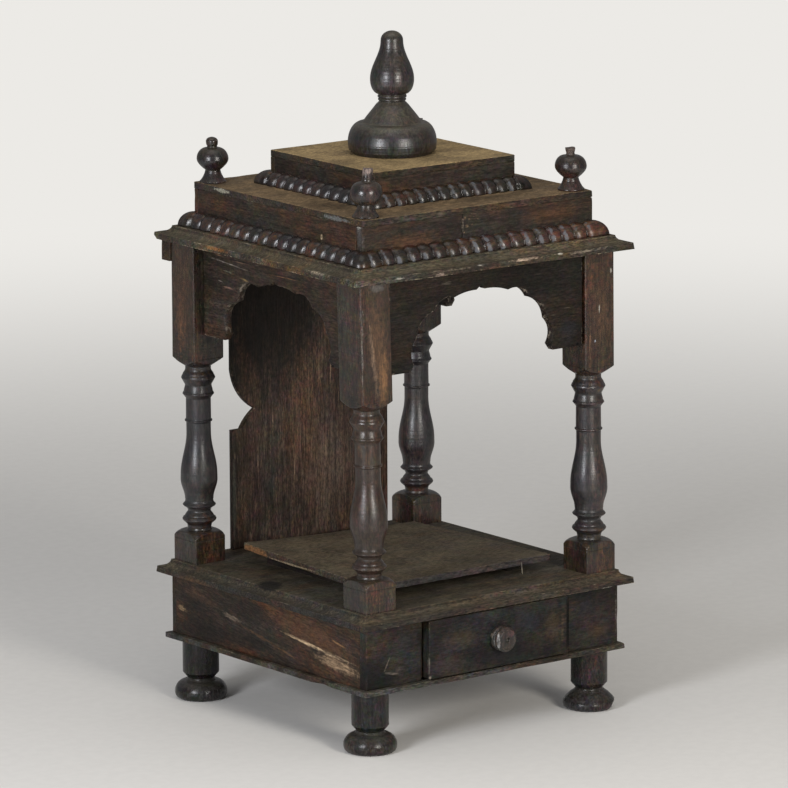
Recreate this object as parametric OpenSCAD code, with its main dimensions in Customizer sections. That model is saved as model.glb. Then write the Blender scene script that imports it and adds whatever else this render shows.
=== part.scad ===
// Small wooden home temple: a drawer case on four turned feet, an open shrine between
// four turned columns, and a roof of two stepped boxes under a turned finial.
// Millimetres. +Z is up, the drawer faces -Y, the origin is on the ground under the middle.

/* [Feet] */
// height of a turned foot
foot_h = 58; // [45:1:75]
// radius of the plain upper part of a foot
foot_r = 17.4; // [14:0.2:20]
// largest radius of the flattened ball under it
foot_ball_r = 25; // [20:0.5:28]
// height of that ball, from the ground to the neck above it
foot_ball_h = 18.5; // [14:0.5:22]
// how deep the edge of the front right foot is split away
foot_chip = 7; // [2:0.5:9]

/* [Case] */
// width of the case, left to right
case_w = 300; // [270:5:340]
// depth of the case, front to back
case_d = 300; // [280:5:340]
// height of the case boards
case_h = 59; // [52:1:80]
// thickness of the thin board under the case
bottom_t = 5; // [4:0.5:10]
// how far that board stands out all round
bottom_overhang = 5; // [2:0.5:10]
// thickness of the case's side boards
side_t = 10; // [7:0.5:14]
// thickness of the case's back board
back_t = 6; // [4:0.5:10]
// thickness of the two front stiles
stile_t = 10; // [7:0.5:14]
// width of each front stile
stile_w = 65; // [55:1:80]

/* [Drawer] */
// how far the drawer stands out of the stiles at rest
drawer_out = 8; // [0:1:40]
// length of the drawer, front face to back
drawer_l = 268; // [180:2:285]
// thickness of the drawer front
drawer_front_t = 12; // [9:0.5:16]
// thickness of the drawer's sides and back
drawer_side_t = 8; // [5:0.5:10]
// height of the drawer's sides and back
drawer_side_h = 42; // [25:1:46]
// thickness of the drawer's bottom
drawer_bottom_t = 4; // [3:0.5:6]
// height of the drawer's bottom above the lower edge of its sides
drawer_bottom_up = 4; // [2:0.5:8]
// gap beside the drawer front
drawer_side_gap = 2.5; // [2:0.25:4]
// gap over the drawer front
drawer_top_gap = 2; // [1:0.25:4]
// thickness of the strips that the drawer slides on
runner_t = 1.7; // [1:0.1:4]
// width of those strips
runner_w = 8; // [5:0.5:14]
// running gap over the strips
runner_gap = 0.3; // [0.2:0.05:0.8]
// thickness of the upright guides beside the drawer
guide_t = 10; // [6:0.5:14]
// height of those guides
guide_h = 20; // [12:1:40]
// radius of the drawer knob
knob_r = 12; // [9:0.5:15]
// how far the knob stands out
knob_l = 13.5; // [10:0.5:20]
// how far the knob sits below the middle of the drawer front
knob_drop = 0; // [-6:0.5:6]

/* [Shrine floor] */
// thickness of the moulded board over the case
base_t = 12; // [10:0.5:18]
// height of its upright lip
base_lip = 5.4; // [3:0.2:8]
// how far it stands out over the case
base_overhang = 11.5; // [7:0.5:16]
// width of the hollow moulding along its upper edge
base_cove_w = 10.5; // [6:0.5:11.5]
// thickness of the loose floor board
floor_t = 6.5; // [4:0.5:10]
// thickness of the battens that the floor board lies on
batten_t = 7; // [2:0.5:10]
// width of those battens
batten_w = 16; // [8:1:30]
// how far the battens lie in from the floor board's ends
batten_inset = 20; // [8:1:60]
// room at the floor board's sides to the lines of the column blocks, if it lay in the middle
floor_play_x = 7.5; // [6.5:0.5:25]
// the same room at its front and back
floor_play_y = 9.5; // [6.5:0.5:25]
// how far the floor board has slid to the left
floor_slip_x = 5; // [0:0.5:6]
// how far the floor board has slid to the front
floor_slip_y = 6; // [0:0.5:6]

/* [Columns] */
// height of the columns
column_h = 308; // [270:2:360]
// distance from the case's faces in to the column axes
column_inset = 19; // [17.5:0.5:26]
// width of the square blocks of a column
block_w = 35; // [30:0.5:42]
// height of the block at the foot of a column, with its turned shoulder
low_block_h = 30; // [24:1:40]
// height of the block at the head of a column, with its turned shoulder
high_block_h = 120; // [104:2:130]
// height of the turned shoulder of a block
shoulder_h = 8.5; // [5:0.5:12]
// radius of the round rings
ring_r = 16.2; // [14:0.2:18]
// largest radius of the vase part
vase_r = 17.6; // [15:0.2:20]
// radius of the slim neck over the vase part
neck_r = 11.7; // [9:0.2:13]

/* [Arches] */
// height of the arch boards
arch_h = 88; // [70:1:100]
// thickness of the arch boards
arch_t = 8; // [5:0.5:12]
// how far the front arch board lies behind the faces of the column blocks
front_arch_back = 0.5; // [0:0.25:10]
// how far the side arch boards lie behind the faces of the column blocks
side_arch_back = 12; // [0:0.5:20]
// wood beside the lower left point of the front opening
front_arch_left = 22.5; // [14:0.5:50]
// wood beside the lower right point of the front opening
front_arch_right = 45; // [14:0.5:50]
// how far the front opening's peak lies off the middle, to the left
front_arch_peak = 13; // [0:1:15]
// wood beside the rear lower point of a side opening
side_arch_rear = 36; // [14:0.5:50]
// wood beside the front lower point of a side opening
side_arch_near = 35.5; // [14:0.5:50]
// how far a side opening's peak lies off the middle, to the back
side_arch_peak = 5; // [0:1:15]
// wood left over the point of the front arch
front_arch_top = 17; // [10:0.5:30]
// wood left over the point of a side arch
side_arch_top = 21; // [10:0.5:30]

/* [Back] */
// thickness of the tall back panel
panel_t = 5; // [4:0.5:10]
// gap between the panel and the left column's block
panel_gap_left = 31; // [4:1:50]
// gap between the panel and the right column's block
panel_gap_right = 8; // [4:1:50]
// height of the pointed notch in each edge of the panel, over its foot
notch_up = 116.5; // [20:0.5:150]
// height of that notch
notch_h = 58; // [40:1:90]
// depth of that notch
notch_d = 27; // [10:1:35]
// height of the rail behind the columns
rail_h = 21; // [12:1:40]
// thickness of that rail
rail_t = 13; // [6:0.5:13]

/* [Roof] */
// how far the roof has twisted on the columns, in degrees
roof_twist = -1.4; // [-2:0.1:0]
// thickness of the moulded cornice board
cornice_t = 12.5; // [10:0.5:18]
// height of its upright lip
cornice_lip = 5.8; // [3:0.1:8]
// how far it stands out over the line of the case
cornice_overhang = 11.5; // [7:0.5:16]
// width of the hollow moulding along its upper edge
cornice_cove_w = 13; // [7:0.5:15]
// size of the piece broken off under the back left corner
cornice_chip = 5; // [2:0.5:7]
// distance from the line of the case in to the lower box
lower_inset = 17; // [15:0.5:30]
// height of the lower box with its top board
lower_h = 42; // [30:1:60]
// height of the rope moulding round the lower box
lower_rope_h = 14; // [9:0.5:18]
// how far that rope moulding stands out
lower_rope_d = 11.5; // [7:0.5:12]
// distance from the lower box in to the upper box
upper_inset = 51.5; // [45:0.5:60]
// height of the upper box with its top board
upper_h = 32; // [26:1:50]
// height of the rope moulding round the upper box
upper_rope_h = 13; // [9:0.5:18]
// how far that rope moulding stands out
upper_rope_d = 11.5; // [7:0.5:12]
// thickness of the front and side boards of both boxes
box_t = 10; // [7:0.5:14]
// thickness of the back boards of both boxes
box_back_t = 6; // [4:0.5:10]
// thickness of the top boards of both boxes
lid_t = 6.5; // [4:0.5:10]

/* [Finials] */
// height of the large turned finial
kalash_h = 114.5; // [90:0.5:140]
// radius of its domed foot
kalash_r = 41.7; // [32:0.5:50]
// radius of its upper bulb
kalash_bulb_r = 20.6; // [15:0.2:26]
// height of a whole corner finial
finial_h = 43; // [36:0.5:55]
// radius of the bulb of a corner finial
finial_r = 15; // [10:0.5:15]
// distance from the lower box's faces in to the corner finials
finial_inset = 13.5; // [13:0.5:20]
// height left on the broken front left finial
stub_left = 46; // [36:0.5:50]
// height left on the broken front right finial
stub_right = 40; // [36:0.5:50]
// height left on the broken back right finial
stub_back = 37; // [36:0.5:50]

/* [Hidden] */
$fn = 48;

// heights of the seats, from the ground up
case_z = foot_h + bottom_t;
base_z = case_z + case_h;
shrine_z = base_z + base_t;
cornice_z = shrine_z + column_h;
lower_z = cornice_z + cornice_t;
upper_z = lower_z + lower_h;
kalash_z = upper_z + upper_h;

// half sizes in plan: case, column axes, clear space between blocks, boxes of the roof
half_w = case_w / 2;
half_d = case_d / 2;
col_x = half_w - column_inset;
col_y = half_d - column_inset;
inner_x = col_x - block_w / 2;
inner_y = col_y - block_w / 2;
face_x = col_x + block_w / 2;
face_y = col_y + block_w / 2;
lower_x = half_w - lower_inset;
lower_y = half_d - lower_inset;
upper_x = lower_x - upper_inset;
upper_y = lower_y - upper_inset;

// the drawer
slot_x = half_w - stile_w;
drawer_x = slot_x - drawer_side_gap;
drawer_z = case_z + runner_t + runner_gap;
drawer_h = base_z - drawer_top_gap - drawer_z;
drawer_face_y = -half_d - drawer_out;
drawer_end_y = drawer_face_y + drawer_l;
knob_z = drawer_z + drawer_h / 2 - knob_drop;
in_front_y = -half_d + stile_t;
in_back_y = half_d - back_t;

DARK = [0.16, 0.11, 0.09];
BROWN = [0.24, 0.15, 0.10];
DUSTY = [0.36, 0.32, 0.24];

// ---- outlines ----

// S-shaped run of a turned profile between two [radius, height] points
function ogee(a, b, n = 4) = [for (i = [0:n])
    [a.x + (b.x - a.x) * (1 - cos(180 * i / n)) / 2, a.y + (b.y - a.y) * i / n]];

// quarter round that leaves a along the radius and meets b along the height
function round_out(a, b, n = 4) = [for (i = [0:n])
    [a.x + (b.x - a.x) * sin(90 * i / n), a.y + (b.y - a.y) * (1 - cos(90 * i / n))]];

// quarter round that leaves a along the height and meets b along the radius
function round_in(a, b, n = 4) = [for (i = [0:n])
    [a.x + (b.x - a.x) * (1 - cos(90 * i / n)), a.y + (b.y - a.y) * sin(90 * i / n)]];

// shallow bow between two points, standing out to the left of the way from a to b
function bow(a, b, s, n = 4) = [for (i = [0:n - 1]) let (t = i / n, d = b - a)
    a + d * t + [-d.y, d.x] * (4 * s * t * (1 - t))];

// the same points without repeated ones
function clean(p) = [for (i = [0:len(p) - 1]) if (i == 0 || norm(p[i] - p[i - 1]) > 0.01) p[i]];

// solid of revolution from a profile that starts and ends on the axis
module turned(points) {
    rotate_extrude() polygon(clean(points));
}

// board with the same moulded edge on all four sides; edge lists [inset, height]
module moulded_board(hx, hy, edge) {
    right_x = [for (p = edge) [hx - p.x, p.y]];
    left_x = [for (i = [len(edge) - 1:-1:0]) [edge[i].x - hx, edge[i].y]];
    right_y = [for (p = edge) [hy - p.x, p.y]];
    left_y = [for (i = [len(edge) - 1:-1:0]) [edge[i].x - hy, edge[i].y]];
    intersection() {
        translate([0, hy, 0]) rotate([90, 0, 0])
            linear_extrude(2 * hy) polygon(concat(right_x, left_x));
        translate([-hx, 0, 0]) rotate([90, 0, 90])
            linear_extrude(2 * hx) polygon(concat(right_y, left_y));
    }
}

// board that is centred on X and Y
module slab(x, y, t) {
    translate([-x / 2, -y / 2, 0]) cube([x, y, t]);
}

// puts a roof piece at its height, with the twist of the whole roof
module on_roof(z) {
    rotate([0, 0, roof_twist]) translate([0, 0, z]) children();
}

// ---- feet ----

module foot() {
    neck = foot_r - 4.4;
    color(DARK) turned(concat(
        [[0, 0], [foot_ball_r - 5, 0]],
        round_out([foot_ball_r - 5, 0], [foot_ball_r, foot_ball_h * 0.35]),
        round_in([foot_ball_r, foot_ball_h * 0.35], [neck + 1.5, foot_ball_h - 1]),
        [[neck + 0.8, foot_ball_h], [neck, foot_ball_h + 0.6], [neck, foot_ball_h + 1.8],
         [foot_r, foot_ball_h + 7], [foot_r, foot_h], [0, foot_h]]));
}

module at_corner(sx, sy) {
    translate([sx * col_x, sy * col_y, 0]) children();
}

module foot_front_left() {
    at_corner(-1, -1) foot();
}

module foot_front_right() {
    at_corner(1, -1) difference() {
        foot();
        // a piece split off the outer edge, and a flat worn on the inner edge
        rotate([0, 0, -38]) translate([foot_ball_r - foot_chip, -40, 0])
            rotate([0, 35, 0]) translate([0, 0, -20]) cube([30, 80, 40]);
        rotate([0, 0, -38]) translate([-foot_ball_r - 28, -40, -1])
            cube([30, 80, foot_ball_h]);
    }
}

module foot_back_left() {
    at_corner(-1, 1) foot();
}

module foot_back_right() {
    at_corner(1, 1) foot();
}

// ---- case ----

module base_bottom_board() {
    color(DARK) translate([0, 0, foot_h])
        slab(case_w + 2 * bottom_overhang, case_d + 2 * bottom_overhang, bottom_t);
}

module case_side() {
    color(BROWN) translate([-half_w, in_front_y, case_z])
        cube([side_t, in_back_y - in_front_y, case_h]);
}

module case_left_side() {
    case_side();
}

module case_right_side() {
    mirror([1, 0, 0]) case_side();
}

module case_back() {
    color(BROWN) translate([-half_w, in_back_y, case_z]) cube([case_w, back_t, case_h]);
}

module front_stile() {
    color(DARK) translate([-half_w, -half_d, case_z]) cube([stile_w, stile_t, case_h]);
}

module front_stile_left() {
    front_stile();
}

module front_stile_right() {
    mirror([1, 0, 0]) front_stile();
}

module drawer_runners() {
    for (side = [0, 1]) mirror([side, 0, 0])
        color(BROWN) translate([drawer_x - runner_w, in_front_y, case_z])
            cube([runner_w, in_back_y - in_front_y, runner_t]);
}

module drawer_guides() {
    for (side = [0, 1]) mirror([side, 0, 0])
        color(BROWN) translate([slot_x, in_front_y, case_z])
            cube([guide_t, in_back_y - in_front_y, guide_h]);
}

module base_top_board() {
    color(DUSTY) translate([0, 0, base_z])
        moulded_board(half_w + base_overhang, half_d + base_overhang,
            concat([[0, 0]], round_out([0.6, base_lip], [base_cove_w, base_t])));
}

// ---- drawer ----

module drawer_front() {
    color(DARK) translate([-drawer_x, drawer_face_y, drawer_z])
        cube([2 * drawer_x, drawer_front_t, drawer_h]);
}

module drawer_sides() {
    for (side = [0, 1]) mirror([side, 0, 0])
        color(BROWN) translate([drawer_x - drawer_side_t, drawer_face_y + drawer_front_t, drawer_z])
            cube([drawer_side_t, drawer_l - drawer_front_t, drawer_side_h]);
}

module drawer_back() {
    x = drawer_x - drawer_side_t;
    color(BROWN) translate([-x, drawer_end_y - drawer_side_t, drawer_z])
        cube([2 * x, drawer_side_t, drawer_side_h]);
}

module drawer_bottom() {
    x = drawer_x - drawer_side_t;
    color(BROWN) translate([-x, drawer_face_y + drawer_front_t, drawer_z + drawer_bottom_up])
        cube([2 * x, drawer_l - drawer_front_t - drawer_side_t, drawer_bottom_t]);
}

module drawer_knob() {
    k = knob_l;
    color(BROWN) translate([0, drawer_face_y, knob_z]) rotate([90, 0, 0]) turned([
        [0, 0], [knob_r - 0.9, 0], [knob_r - 0.4, k * 0.12], [knob_r - 0.9, k * 0.27],
        [knob_r - 2.6, k * 0.36], [knob_r - 2.6, k * 0.48], [knob_r - 0.5, k * 0.62],
        [knob_r, k * 0.78], [knob_r - 0.4, k * 0.93], [knob_r - 1.4, k],
        [knob_r - 2, k * 0.95], [2.4, k * 0.97], [1.5, k * 0.8], [0, k * 0.8]]);
}

// ---- shrine floor ----

floor_w = 2 * (inner_x - floor_play_x);
floor_d = 2 * (inner_y - floor_play_y);

module floor_board() {
    color(DUSTY) translate([-floor_slip_x, -floor_slip_y, shrine_z + batten_t])
        slab(floor_w, floor_d, floor_t);
}

module floor_battens() {
    for (side = [-1, 1])
        color(BROWN) translate([-floor_slip_x + side * (floor_w / 2 - batten_inset - batten_w / 2),
                -floor_slip_y, shrine_z])
            slab(batten_w, floor_d - 2 * batten_inset, batten_t);
}

// ---- columns ----

// the turned part between the two square blocks, as a whole profile from foot to head
function column_profile() =
    let (low = low_block_h, high = column_h - high_block_h, wide = block_w * 0.8,
         waist = ring_r - 5.4)
    concat(
        [[0, 0], [wide, 0], [wide, low - shoulder_h]],
        round_in([block_w * 0.71, low - shoulder_h], [waist + 1.2, low]),
        [[waist + 0.4, low + 2]],
        ogee([waist + 0.8, low + 4.5], [ring_r, low + 10.6]),
        [[ring_r - 0.8, low + 12.2]],
        ogee([ring_r - 2.5, low + 13.4], [waist, low + 18.8]),
        ogee([waist + 0.6, low + 20], [ring_r - 0.4, low + 24.4]),
        [[ring_r - 2.6, low + 26.8], [ring_r - 2.9, low + 29]],
        ogee([ring_r - 2.6, low + 30], [vase_r, low + 49], 5),
        ogee([vase_r - 0.1, low + 53], [neck_r, high - 64], 7),
        [[neck_r, high - 54], [neck_r + 1.4, high - 53], [neck_r + 1.4, high - 52],
         [neck_r + 0.3, high - 51.2], [neck_r + 0.1, high - 31], [neck_r + 1.2, high - 29.4]],
        [[ring_r - 1.2, high - 26.8], [ring_r - 1.8, high - 25.4]],
        ogee([ring_r - 2.4, high - 25], [ring_r - 3.6, high - 18]),
        [[ring_r, high - 11.4], [ring_r - 0.7, high - 9.4]],
        ogee([ring_r - 1.4, high - 8.6], [ring_r - 4, high - 3], 3),
        [[ring_r - 4, high], [block_w * 0.71, high + shoulder_h], [wide, high + shoulder_h],
         [wide, column_h], [0, column_h]]);

module column() {
    w = block_w;
    high = column_h - high_block_h;
    color(DARK) translate([0, 0, shrine_z]) intersection() {
        turned(column_profile());
        union() {
            slab(w, w, low_block_h);
            translate([0, 0, low_block_h - 1]) cylinder(r = vase_r + 2, h = high - low_block_h + 2);
            translate([0, 0, high]) slab(w, w, high_block_h);
        }
    }
}

module column_front_left() {
    at_corner(-1, -1) column();
}

module column_front_right() {
    at_corner(1, -1) column();
}

module column_back_left() {
    at_corner(-1, 1) column();
}

module column_back_right() {
    at_corner(1, 1) column();
}

// ---- arches ----

// points of a many-lobed arch, as [share of the half width, share of the height], and how far
// the stretch after each of them bows out, as a share of its length
CUSPS = [[0, 0], [0.06, 0.055], [0.4, 0.12], [0.7, 0.27], [0.96, 0.62], [1, 1]];
LOBES = [0, 0.05, 0.2, 0.17, 0.2];
// the same for the rear halves of the side arches, which were cut with wider lobes
WIDE_CUSPS = [[0, 0], [0.05, 0.07], [0.33, 0.145], [0.78, 0.44], [1, 1]];
WIDE_LOBES = [0, 0.05, 0.25, 0.28];

// one half of an opening, from the peak to the lower point at x = half
function arch_side(half, top, cusps, lobes) = let (drop = arch_h - 6 - top)
    [for (i = [0:len(lobes) - 1])
        let (a = [cusps[i].x * half, -top - cusps[i].y * drop],
             b = [cusps[i + 1].x * half, -top - cusps[i + 1].y * drop])
        each bow(a, b, lobes[i], lobes[i] == 0 ? 1 : 5)];

// board hanging from z = 0, with the opening's peak at x = peak and its lower points
// at the given distances from the board's ends
module arch_board(length, left, right, peak, top, right_cusps, right_lobes) {
    half_l = length / 2 - left + peak;
    half_r = length / 2 - right - peak;
    side_l = arch_side(half_l, top, CUSPS, LOBES);
    side_r = arch_side(half_r, top, right_cusps, right_lobes);
    opening = concat(
        side_r, [[half_r, 6 - arch_h], [half_r + 5, -arch_h - 1]],
        [[-half_l - 5, -arch_h - 1], [-half_l, 6 - arch_h]],
        [for (i = [len(side_l) - 1:-1:1]) [-side_l[i].x, side_l[i].y]]);
    rotate([90, 0, 0]) linear_extrude(arch_t) difference() {
        translate([-length / 2, -arch_h]) square([length, arch_h]);
        translate([peak, 0]) polygon(opening);
    }
}

module arch_front() {
    color(DARK) translate([0, -face_y + front_arch_back + arch_t, cornice_z])
        arch_board(2 * inner_x, front_arch_left, front_arch_right, -front_arch_peak,
            front_arch_top, CUSPS, LOBES);
}

module side_arch() {
    color(DARK) translate([-face_x + side_arch_back, 0, cornice_z]) rotate([0, 0, 90])
        arch_board(2 * inner_y, side_arch_near, side_arch_rear, side_arch_peak, side_arch_top,
            WIDE_CUSPS, WIDE_LOBES);
}

module arch_left() {
    side_arch();
}

module arch_right() {
    mirror([1, 0, 0]) side_arch();
}

// ---- back ----

// half of the notch in the panel's edge, x inwards from the edge, y up from the notch's foot
function notch() = let (point = [notch_d, notch_h * 0.31])
    concat([[-1, 0], [notch_d * 0.38, 0]],
        bow([notch_d * 0.38, 0], point, 0.06),
        bow(point, [0, notch_h], 0.12), [[0, notch_h], [-1, notch_h]]);

module back_panel() {
    left = -inner_x + panel_gap_left;
    right = inner_x - panel_gap_right;
    color(BROWN) translate([0, face_y, shrine_z]) rotate([90, 0, 0])
        linear_extrude(panel_t) difference() {
            translate([left, 0]) square([right - left, column_h]);
            translate([left, notch_up]) polygon(notch());
            translate([right, notch_up]) mirror([1, 0]) polygon(notch());
        }
}

module back_rail() {
    color(BROWN) translate([-half_w, face_y, cornice_z - rail_h]) cube([case_w, rail_t, rail_h]);
}

// ---- roof ----

module cornice_board() {
    hx = half_w + cornice_overhang;
    hy = half_d + cornice_overhang;
    chip = cornice_chip * sqrt(2);
    color(DUSTY) on_roof(cornice_z) difference() {
        moulded_board(hx, hy, concat([[0, 0]],
            round_out([0.8, cornice_lip], [cornice_cove_w, cornice_t])));
        // a piece broken off the corner from below
        translate([-hx, hy, 0]) rotate([0, 0, -45]) rotate([0, 45, 0])
            cube([chip, 40, chip], center = true);
    }
}

// four lengths of rope moulding round a box, mitred at the corners
module rope_moulding(hx, hy, h, d) {
    difference() {
        moulded_board(hx + d, hy + d,
            concat(round_in([0, 0], [d, h], 5), [[d + 2, h]]));
        translate([0, 0, -1]) slab(2 * hx, 2 * hy, h + 2);
    }
}

module box_front(hx, hy, h) {
    translate([-hx, -hy, 0]) cube([2 * hx, box_t, h - lid_t]);
}

module box_back(hx, hy, h) {
    translate([-hx, hy - box_back_t, 0]) cube([2 * hx, box_back_t, h - lid_t]);
}

module box_sides(hx, hy, h) {
    for (side = [0, 1]) mirror([side, 0, 0])
        translate([-hx, -hy + box_t, 0])
            cube([box_t, 2 * hy - box_t - box_back_t, h - lid_t]);
}

module box_lid(hx, hy, h) {
    translate([0, 0, h - lid_t]) slab(2 * hx, 2 * hy, lid_t);
}

module lower_rope_moulding() {
    color(DARK) on_roof(lower_z) rope_moulding(lower_x, lower_y, lower_rope_h, lower_rope_d);
}

module lower_tier_front() {
    color(BROWN) on_roof(lower_z) box_front(lower_x, lower_y, lower_h);
}

module lower_tier_back() {
    color(BROWN) on_roof(lower_z) box_back(lower_x, lower_y, lower_h);
}

module lower_tier_sides() {
    color(BROWN) on_roof(lower_z) box_sides(lower_x, lower_y, lower_h);
}

module lower_tier_top() {
    color(DUSTY) on_roof(lower_z) box_lid(lower_x, lower_y, lower_h);
}

module upper_rope_moulding() {
    color(DARK) on_roof(upper_z) rope_moulding(upper_x, upper_y, upper_rope_h, upper_rope_d);
}

module upper_tier_front() {
    color(BROWN) on_roof(upper_z) box_front(upper_x, upper_y, upper_h);
}

module upper_tier_back() {
    color(BROWN) on_roof(upper_z) box_back(upper_x, upper_y, upper_h);
}

module upper_tier_sides() {
    color(BROWN) on_roof(upper_z) box_sides(upper_x, upper_y, upper_h);
}

module upper_tier_top() {
    color(DUSTY) on_roof(upper_z) box_lid(upper_x, upper_y, upper_h);
}

// ---- finials ----

module kalash_finial() {
    r = kalash_r;
    b = kalash_bulb_r;
    h = kalash_h;
    color(DARK) on_roof(kalash_z) turned(concat(
        [[0, 0], [r * 0.9, 0], [r * 0.985, h * 0.035]],
        round_in([r, h * 0.085], [r * 0.72, h * 0.25], 5),
        [[r * 0.66, h * 0.255], [r * 0.65, h * 0.262], [r * 0.58, h * 0.297],
         [r * 0.36, h * 0.398], [r * 0.29, h * 0.423], [r * 0.316, h * 0.434],
         [r * 0.316, h * 0.445], [r * 0.285, h * 0.451], [r * 0.326, h * 0.458],
         [r * 0.326, h * 0.47], [r * 0.3, h * 0.478]],
        round_out([b * 0.62, h * 0.484], [b, h * 0.6], 5),
        ogee([b, h * 0.605], [b * 0.515, h * 0.917], 7),
        round_in([b * 0.51, h * 0.925], [0, h], 4)));
}

// corner finial; a whole one ends in a small ball, a broken one in a stub of the given height
module corner_finial(top, whole) {
    f = finial_r;
    bulb_z = 22;
    low = [[0, 0], [f * 0.82, 0], [f * 0.84, 1.6], [f * 0.74, 2.8]];
    bulb = concat(
        ogee([f * 0.72, 3], [f * 0.5, 11], 3),
        round_out([f * 0.52, 12], [f, bulb_z]),
        round_in([f, bulb_z], [f * 0.36, 32.5], 5));
    knob = concat([[3.4, 33.2], [3.4, 34]],
        round_out([3.8, 34], [5.4, (34 + top) / 2], 3),
        round_in([5.4, (34 + top) / 2], [0, top], 3));
    stub = [[3.3, 33], [3.1, top - 2], [3.5, top], [0, top]];
    color(DARK) turned(concat(low, bulb, whole ? knob : stub));
}

module at_lid_corner(sx, sy) {
    on_roof(upper_z)
        translate([sx * (lower_x - finial_inset), sy * (lower_y - finial_inset), 0]) children();
}

module corner_finial_front_left() {
    at_lid_corner(-1, -1) corner_finial(stub_left, false);
}

module corner_finial_front_right() {
    at_lid_corner(1, -1) corner_finial(stub_right, false);
}

module corner_finial_back_left() {
    at_lid_corner(-1, 1) corner_finial(finial_h, true);
}

module corner_finial_back_right() {
    at_lid_corner(1, 1) corner_finial(stub_back, false);
}

foot_front_left();
foot_front_right();
foot_back_left();
foot_back_right();
base_bottom_board();
case_left_side();
case_right_side();
case_back();
front_stile_left();
front_stile_right();
drawer_runners();
drawer_guides();
base_top_board();
drawer_front();
drawer_sides();
drawer_back();
drawer_bottom();
drawer_knob();
floor_board();
floor_battens();
column_front_left();
column_front_right();
column_back_left();
column_back_right();
arch_front();
arch_left();
arch_right();
back_panel();
back_rail();
cornice_board();
lower_rope_moulding();
lower_tier_front();
lower_tier_back();
lower_tier_sides();
lower_tier_top();
upper_rope_moulding();
upper_tier_front();
upper_tier_back();
upper_tier_sides();
upper_tier_top();
kalash_finial();
corner_finial_front_left();
corner_finial_front_right();
corner_finial_back_left();
corner_finial_back_right();
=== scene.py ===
"""Dressed model of a small wooden home temple: drawer case, open shrine and stepped roof.

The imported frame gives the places. Every board, turning and moulding that shows is rebuilt
here with eased and nicked edges, carved strands and worn finishes. Sizes are millimetres,
meshes are metres, +Z is up and the drawer faces -Y.
"""

import logging
import math
from dataclasses import dataclass, field, replace
from enum import Enum
from typing import Any, ClassVar, Sequence

import bpy
import numpy as np
from mathutils import Matrix, Vector
from mathutils.geometry import delaunay_2d_cdt


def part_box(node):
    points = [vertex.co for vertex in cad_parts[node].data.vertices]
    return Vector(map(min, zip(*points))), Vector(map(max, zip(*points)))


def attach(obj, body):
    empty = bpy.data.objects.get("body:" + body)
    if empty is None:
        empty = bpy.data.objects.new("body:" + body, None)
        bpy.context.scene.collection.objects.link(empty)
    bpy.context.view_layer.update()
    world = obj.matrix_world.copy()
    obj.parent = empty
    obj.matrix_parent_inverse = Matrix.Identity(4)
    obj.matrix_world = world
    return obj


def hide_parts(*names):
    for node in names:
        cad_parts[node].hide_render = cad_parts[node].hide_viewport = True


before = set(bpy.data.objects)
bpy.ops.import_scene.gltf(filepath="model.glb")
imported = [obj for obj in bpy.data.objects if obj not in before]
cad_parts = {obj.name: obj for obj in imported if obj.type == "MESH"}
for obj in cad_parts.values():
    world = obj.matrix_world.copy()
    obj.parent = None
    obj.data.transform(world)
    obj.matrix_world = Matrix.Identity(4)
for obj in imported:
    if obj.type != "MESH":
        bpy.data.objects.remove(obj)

log = logging.getLogger("home_temple")
MM = 0.001
Pair = tuple[float, float]
Triple = tuple[float, float, float]
Faces = list[tuple[int, ...]]
Socket = bpy.types.NodeSocket
SMALL = 1e-6
RUBBED = 2.4


class Body(Enum):
    """The two bodies that pieces ride on."""

    TEMPLE = "temple"
    DRAWER = "drawer"


class Slot(Enum):
    """The record's material slots."""

    DARK = "dark_wood"
    BROWN = "brown_wood"
    DUSTY = "dusty_wood"
    RAW = "raw_wood"


class Face(Enum):
    """The upright faces that marks lie on, by the axis that points out of them."""

    SIDE = 0
    FRONT = 1


class Grain(Enum):
    """Direction of the fibres, as the stretch of the grain along each axis."""

    ALONG_X = (0.055, 1.0, 1.0)
    ALONG_Y = (1.0, 0.055, 1.0)
    ALONG_Z = (1.0, 1.0, 0.055)


def srgb(red: float, green: float, blue: float) -> tuple[float, float, float, float]:
    """Linear colour of a screen colour given from 0 to 255."""
    parts = [c / 255 for c in (red, green, blue)]
    linear = [p / 12.92 if p <= 0.04045 else ((p + 0.055) / 1.055) ** 2.4 for p in parts]
    return (*linear, 1.0)


# ---- shapes ----


def lengths(rows: np.ndarray) -> np.ndarray:
    """Length of each row as a column, never quite zero."""
    return np.maximum(np.linalg.norm(rows, axis=1, keepdims=True), SMALL)


def held_round(flat: np.ndarray, core: np.ndarray, radius: Any) -> np.ndarray:
    """Points pulled in to a round of some radius about their cores."""
    out = flat - core
    reach = np.linalg.norm(out, axis=1, keepdims=True)
    return core + out * np.where(reach > radius, radius / lengths(out), 1)


def band(one: Sequence[int], two: Sequence[int], flipped: bool = False) -> Faces:
    """Faces that join two closed rows of point numbers; flipped ones look the other way."""
    quads = zip(one, [*one[1:], one[0]], [*two[1:], two[0]], two)
    return [(a, d, c, b) if flipped else (a, b, c, d) for a, b, c, d in quads]


def wobble(points: np.ndarray, size: float, seed: int) -> np.ndarray:
    """Smooth random field of about -1 to 1.

    Args:
        points: places in millimetres, one row each.
        size: rough width of a bump, in millimetres.
        seed: number that picks the field.

    Returns:
        One value for each point.
    """
    rng = np.random.default_rng(seed)
    total = np.zeros(len(points))
    for _ in range(8):
        way = rng.normal(size=3)
        way /= np.linalg.norm(way)
        length = size * rng.uniform(1.3, 3.4)
        total += np.sin(points @ way * (2 * math.pi / length) + rng.uniform(0, 2 * math.pi))
    return np.clip(total / 3.6, -1, 1)


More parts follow.
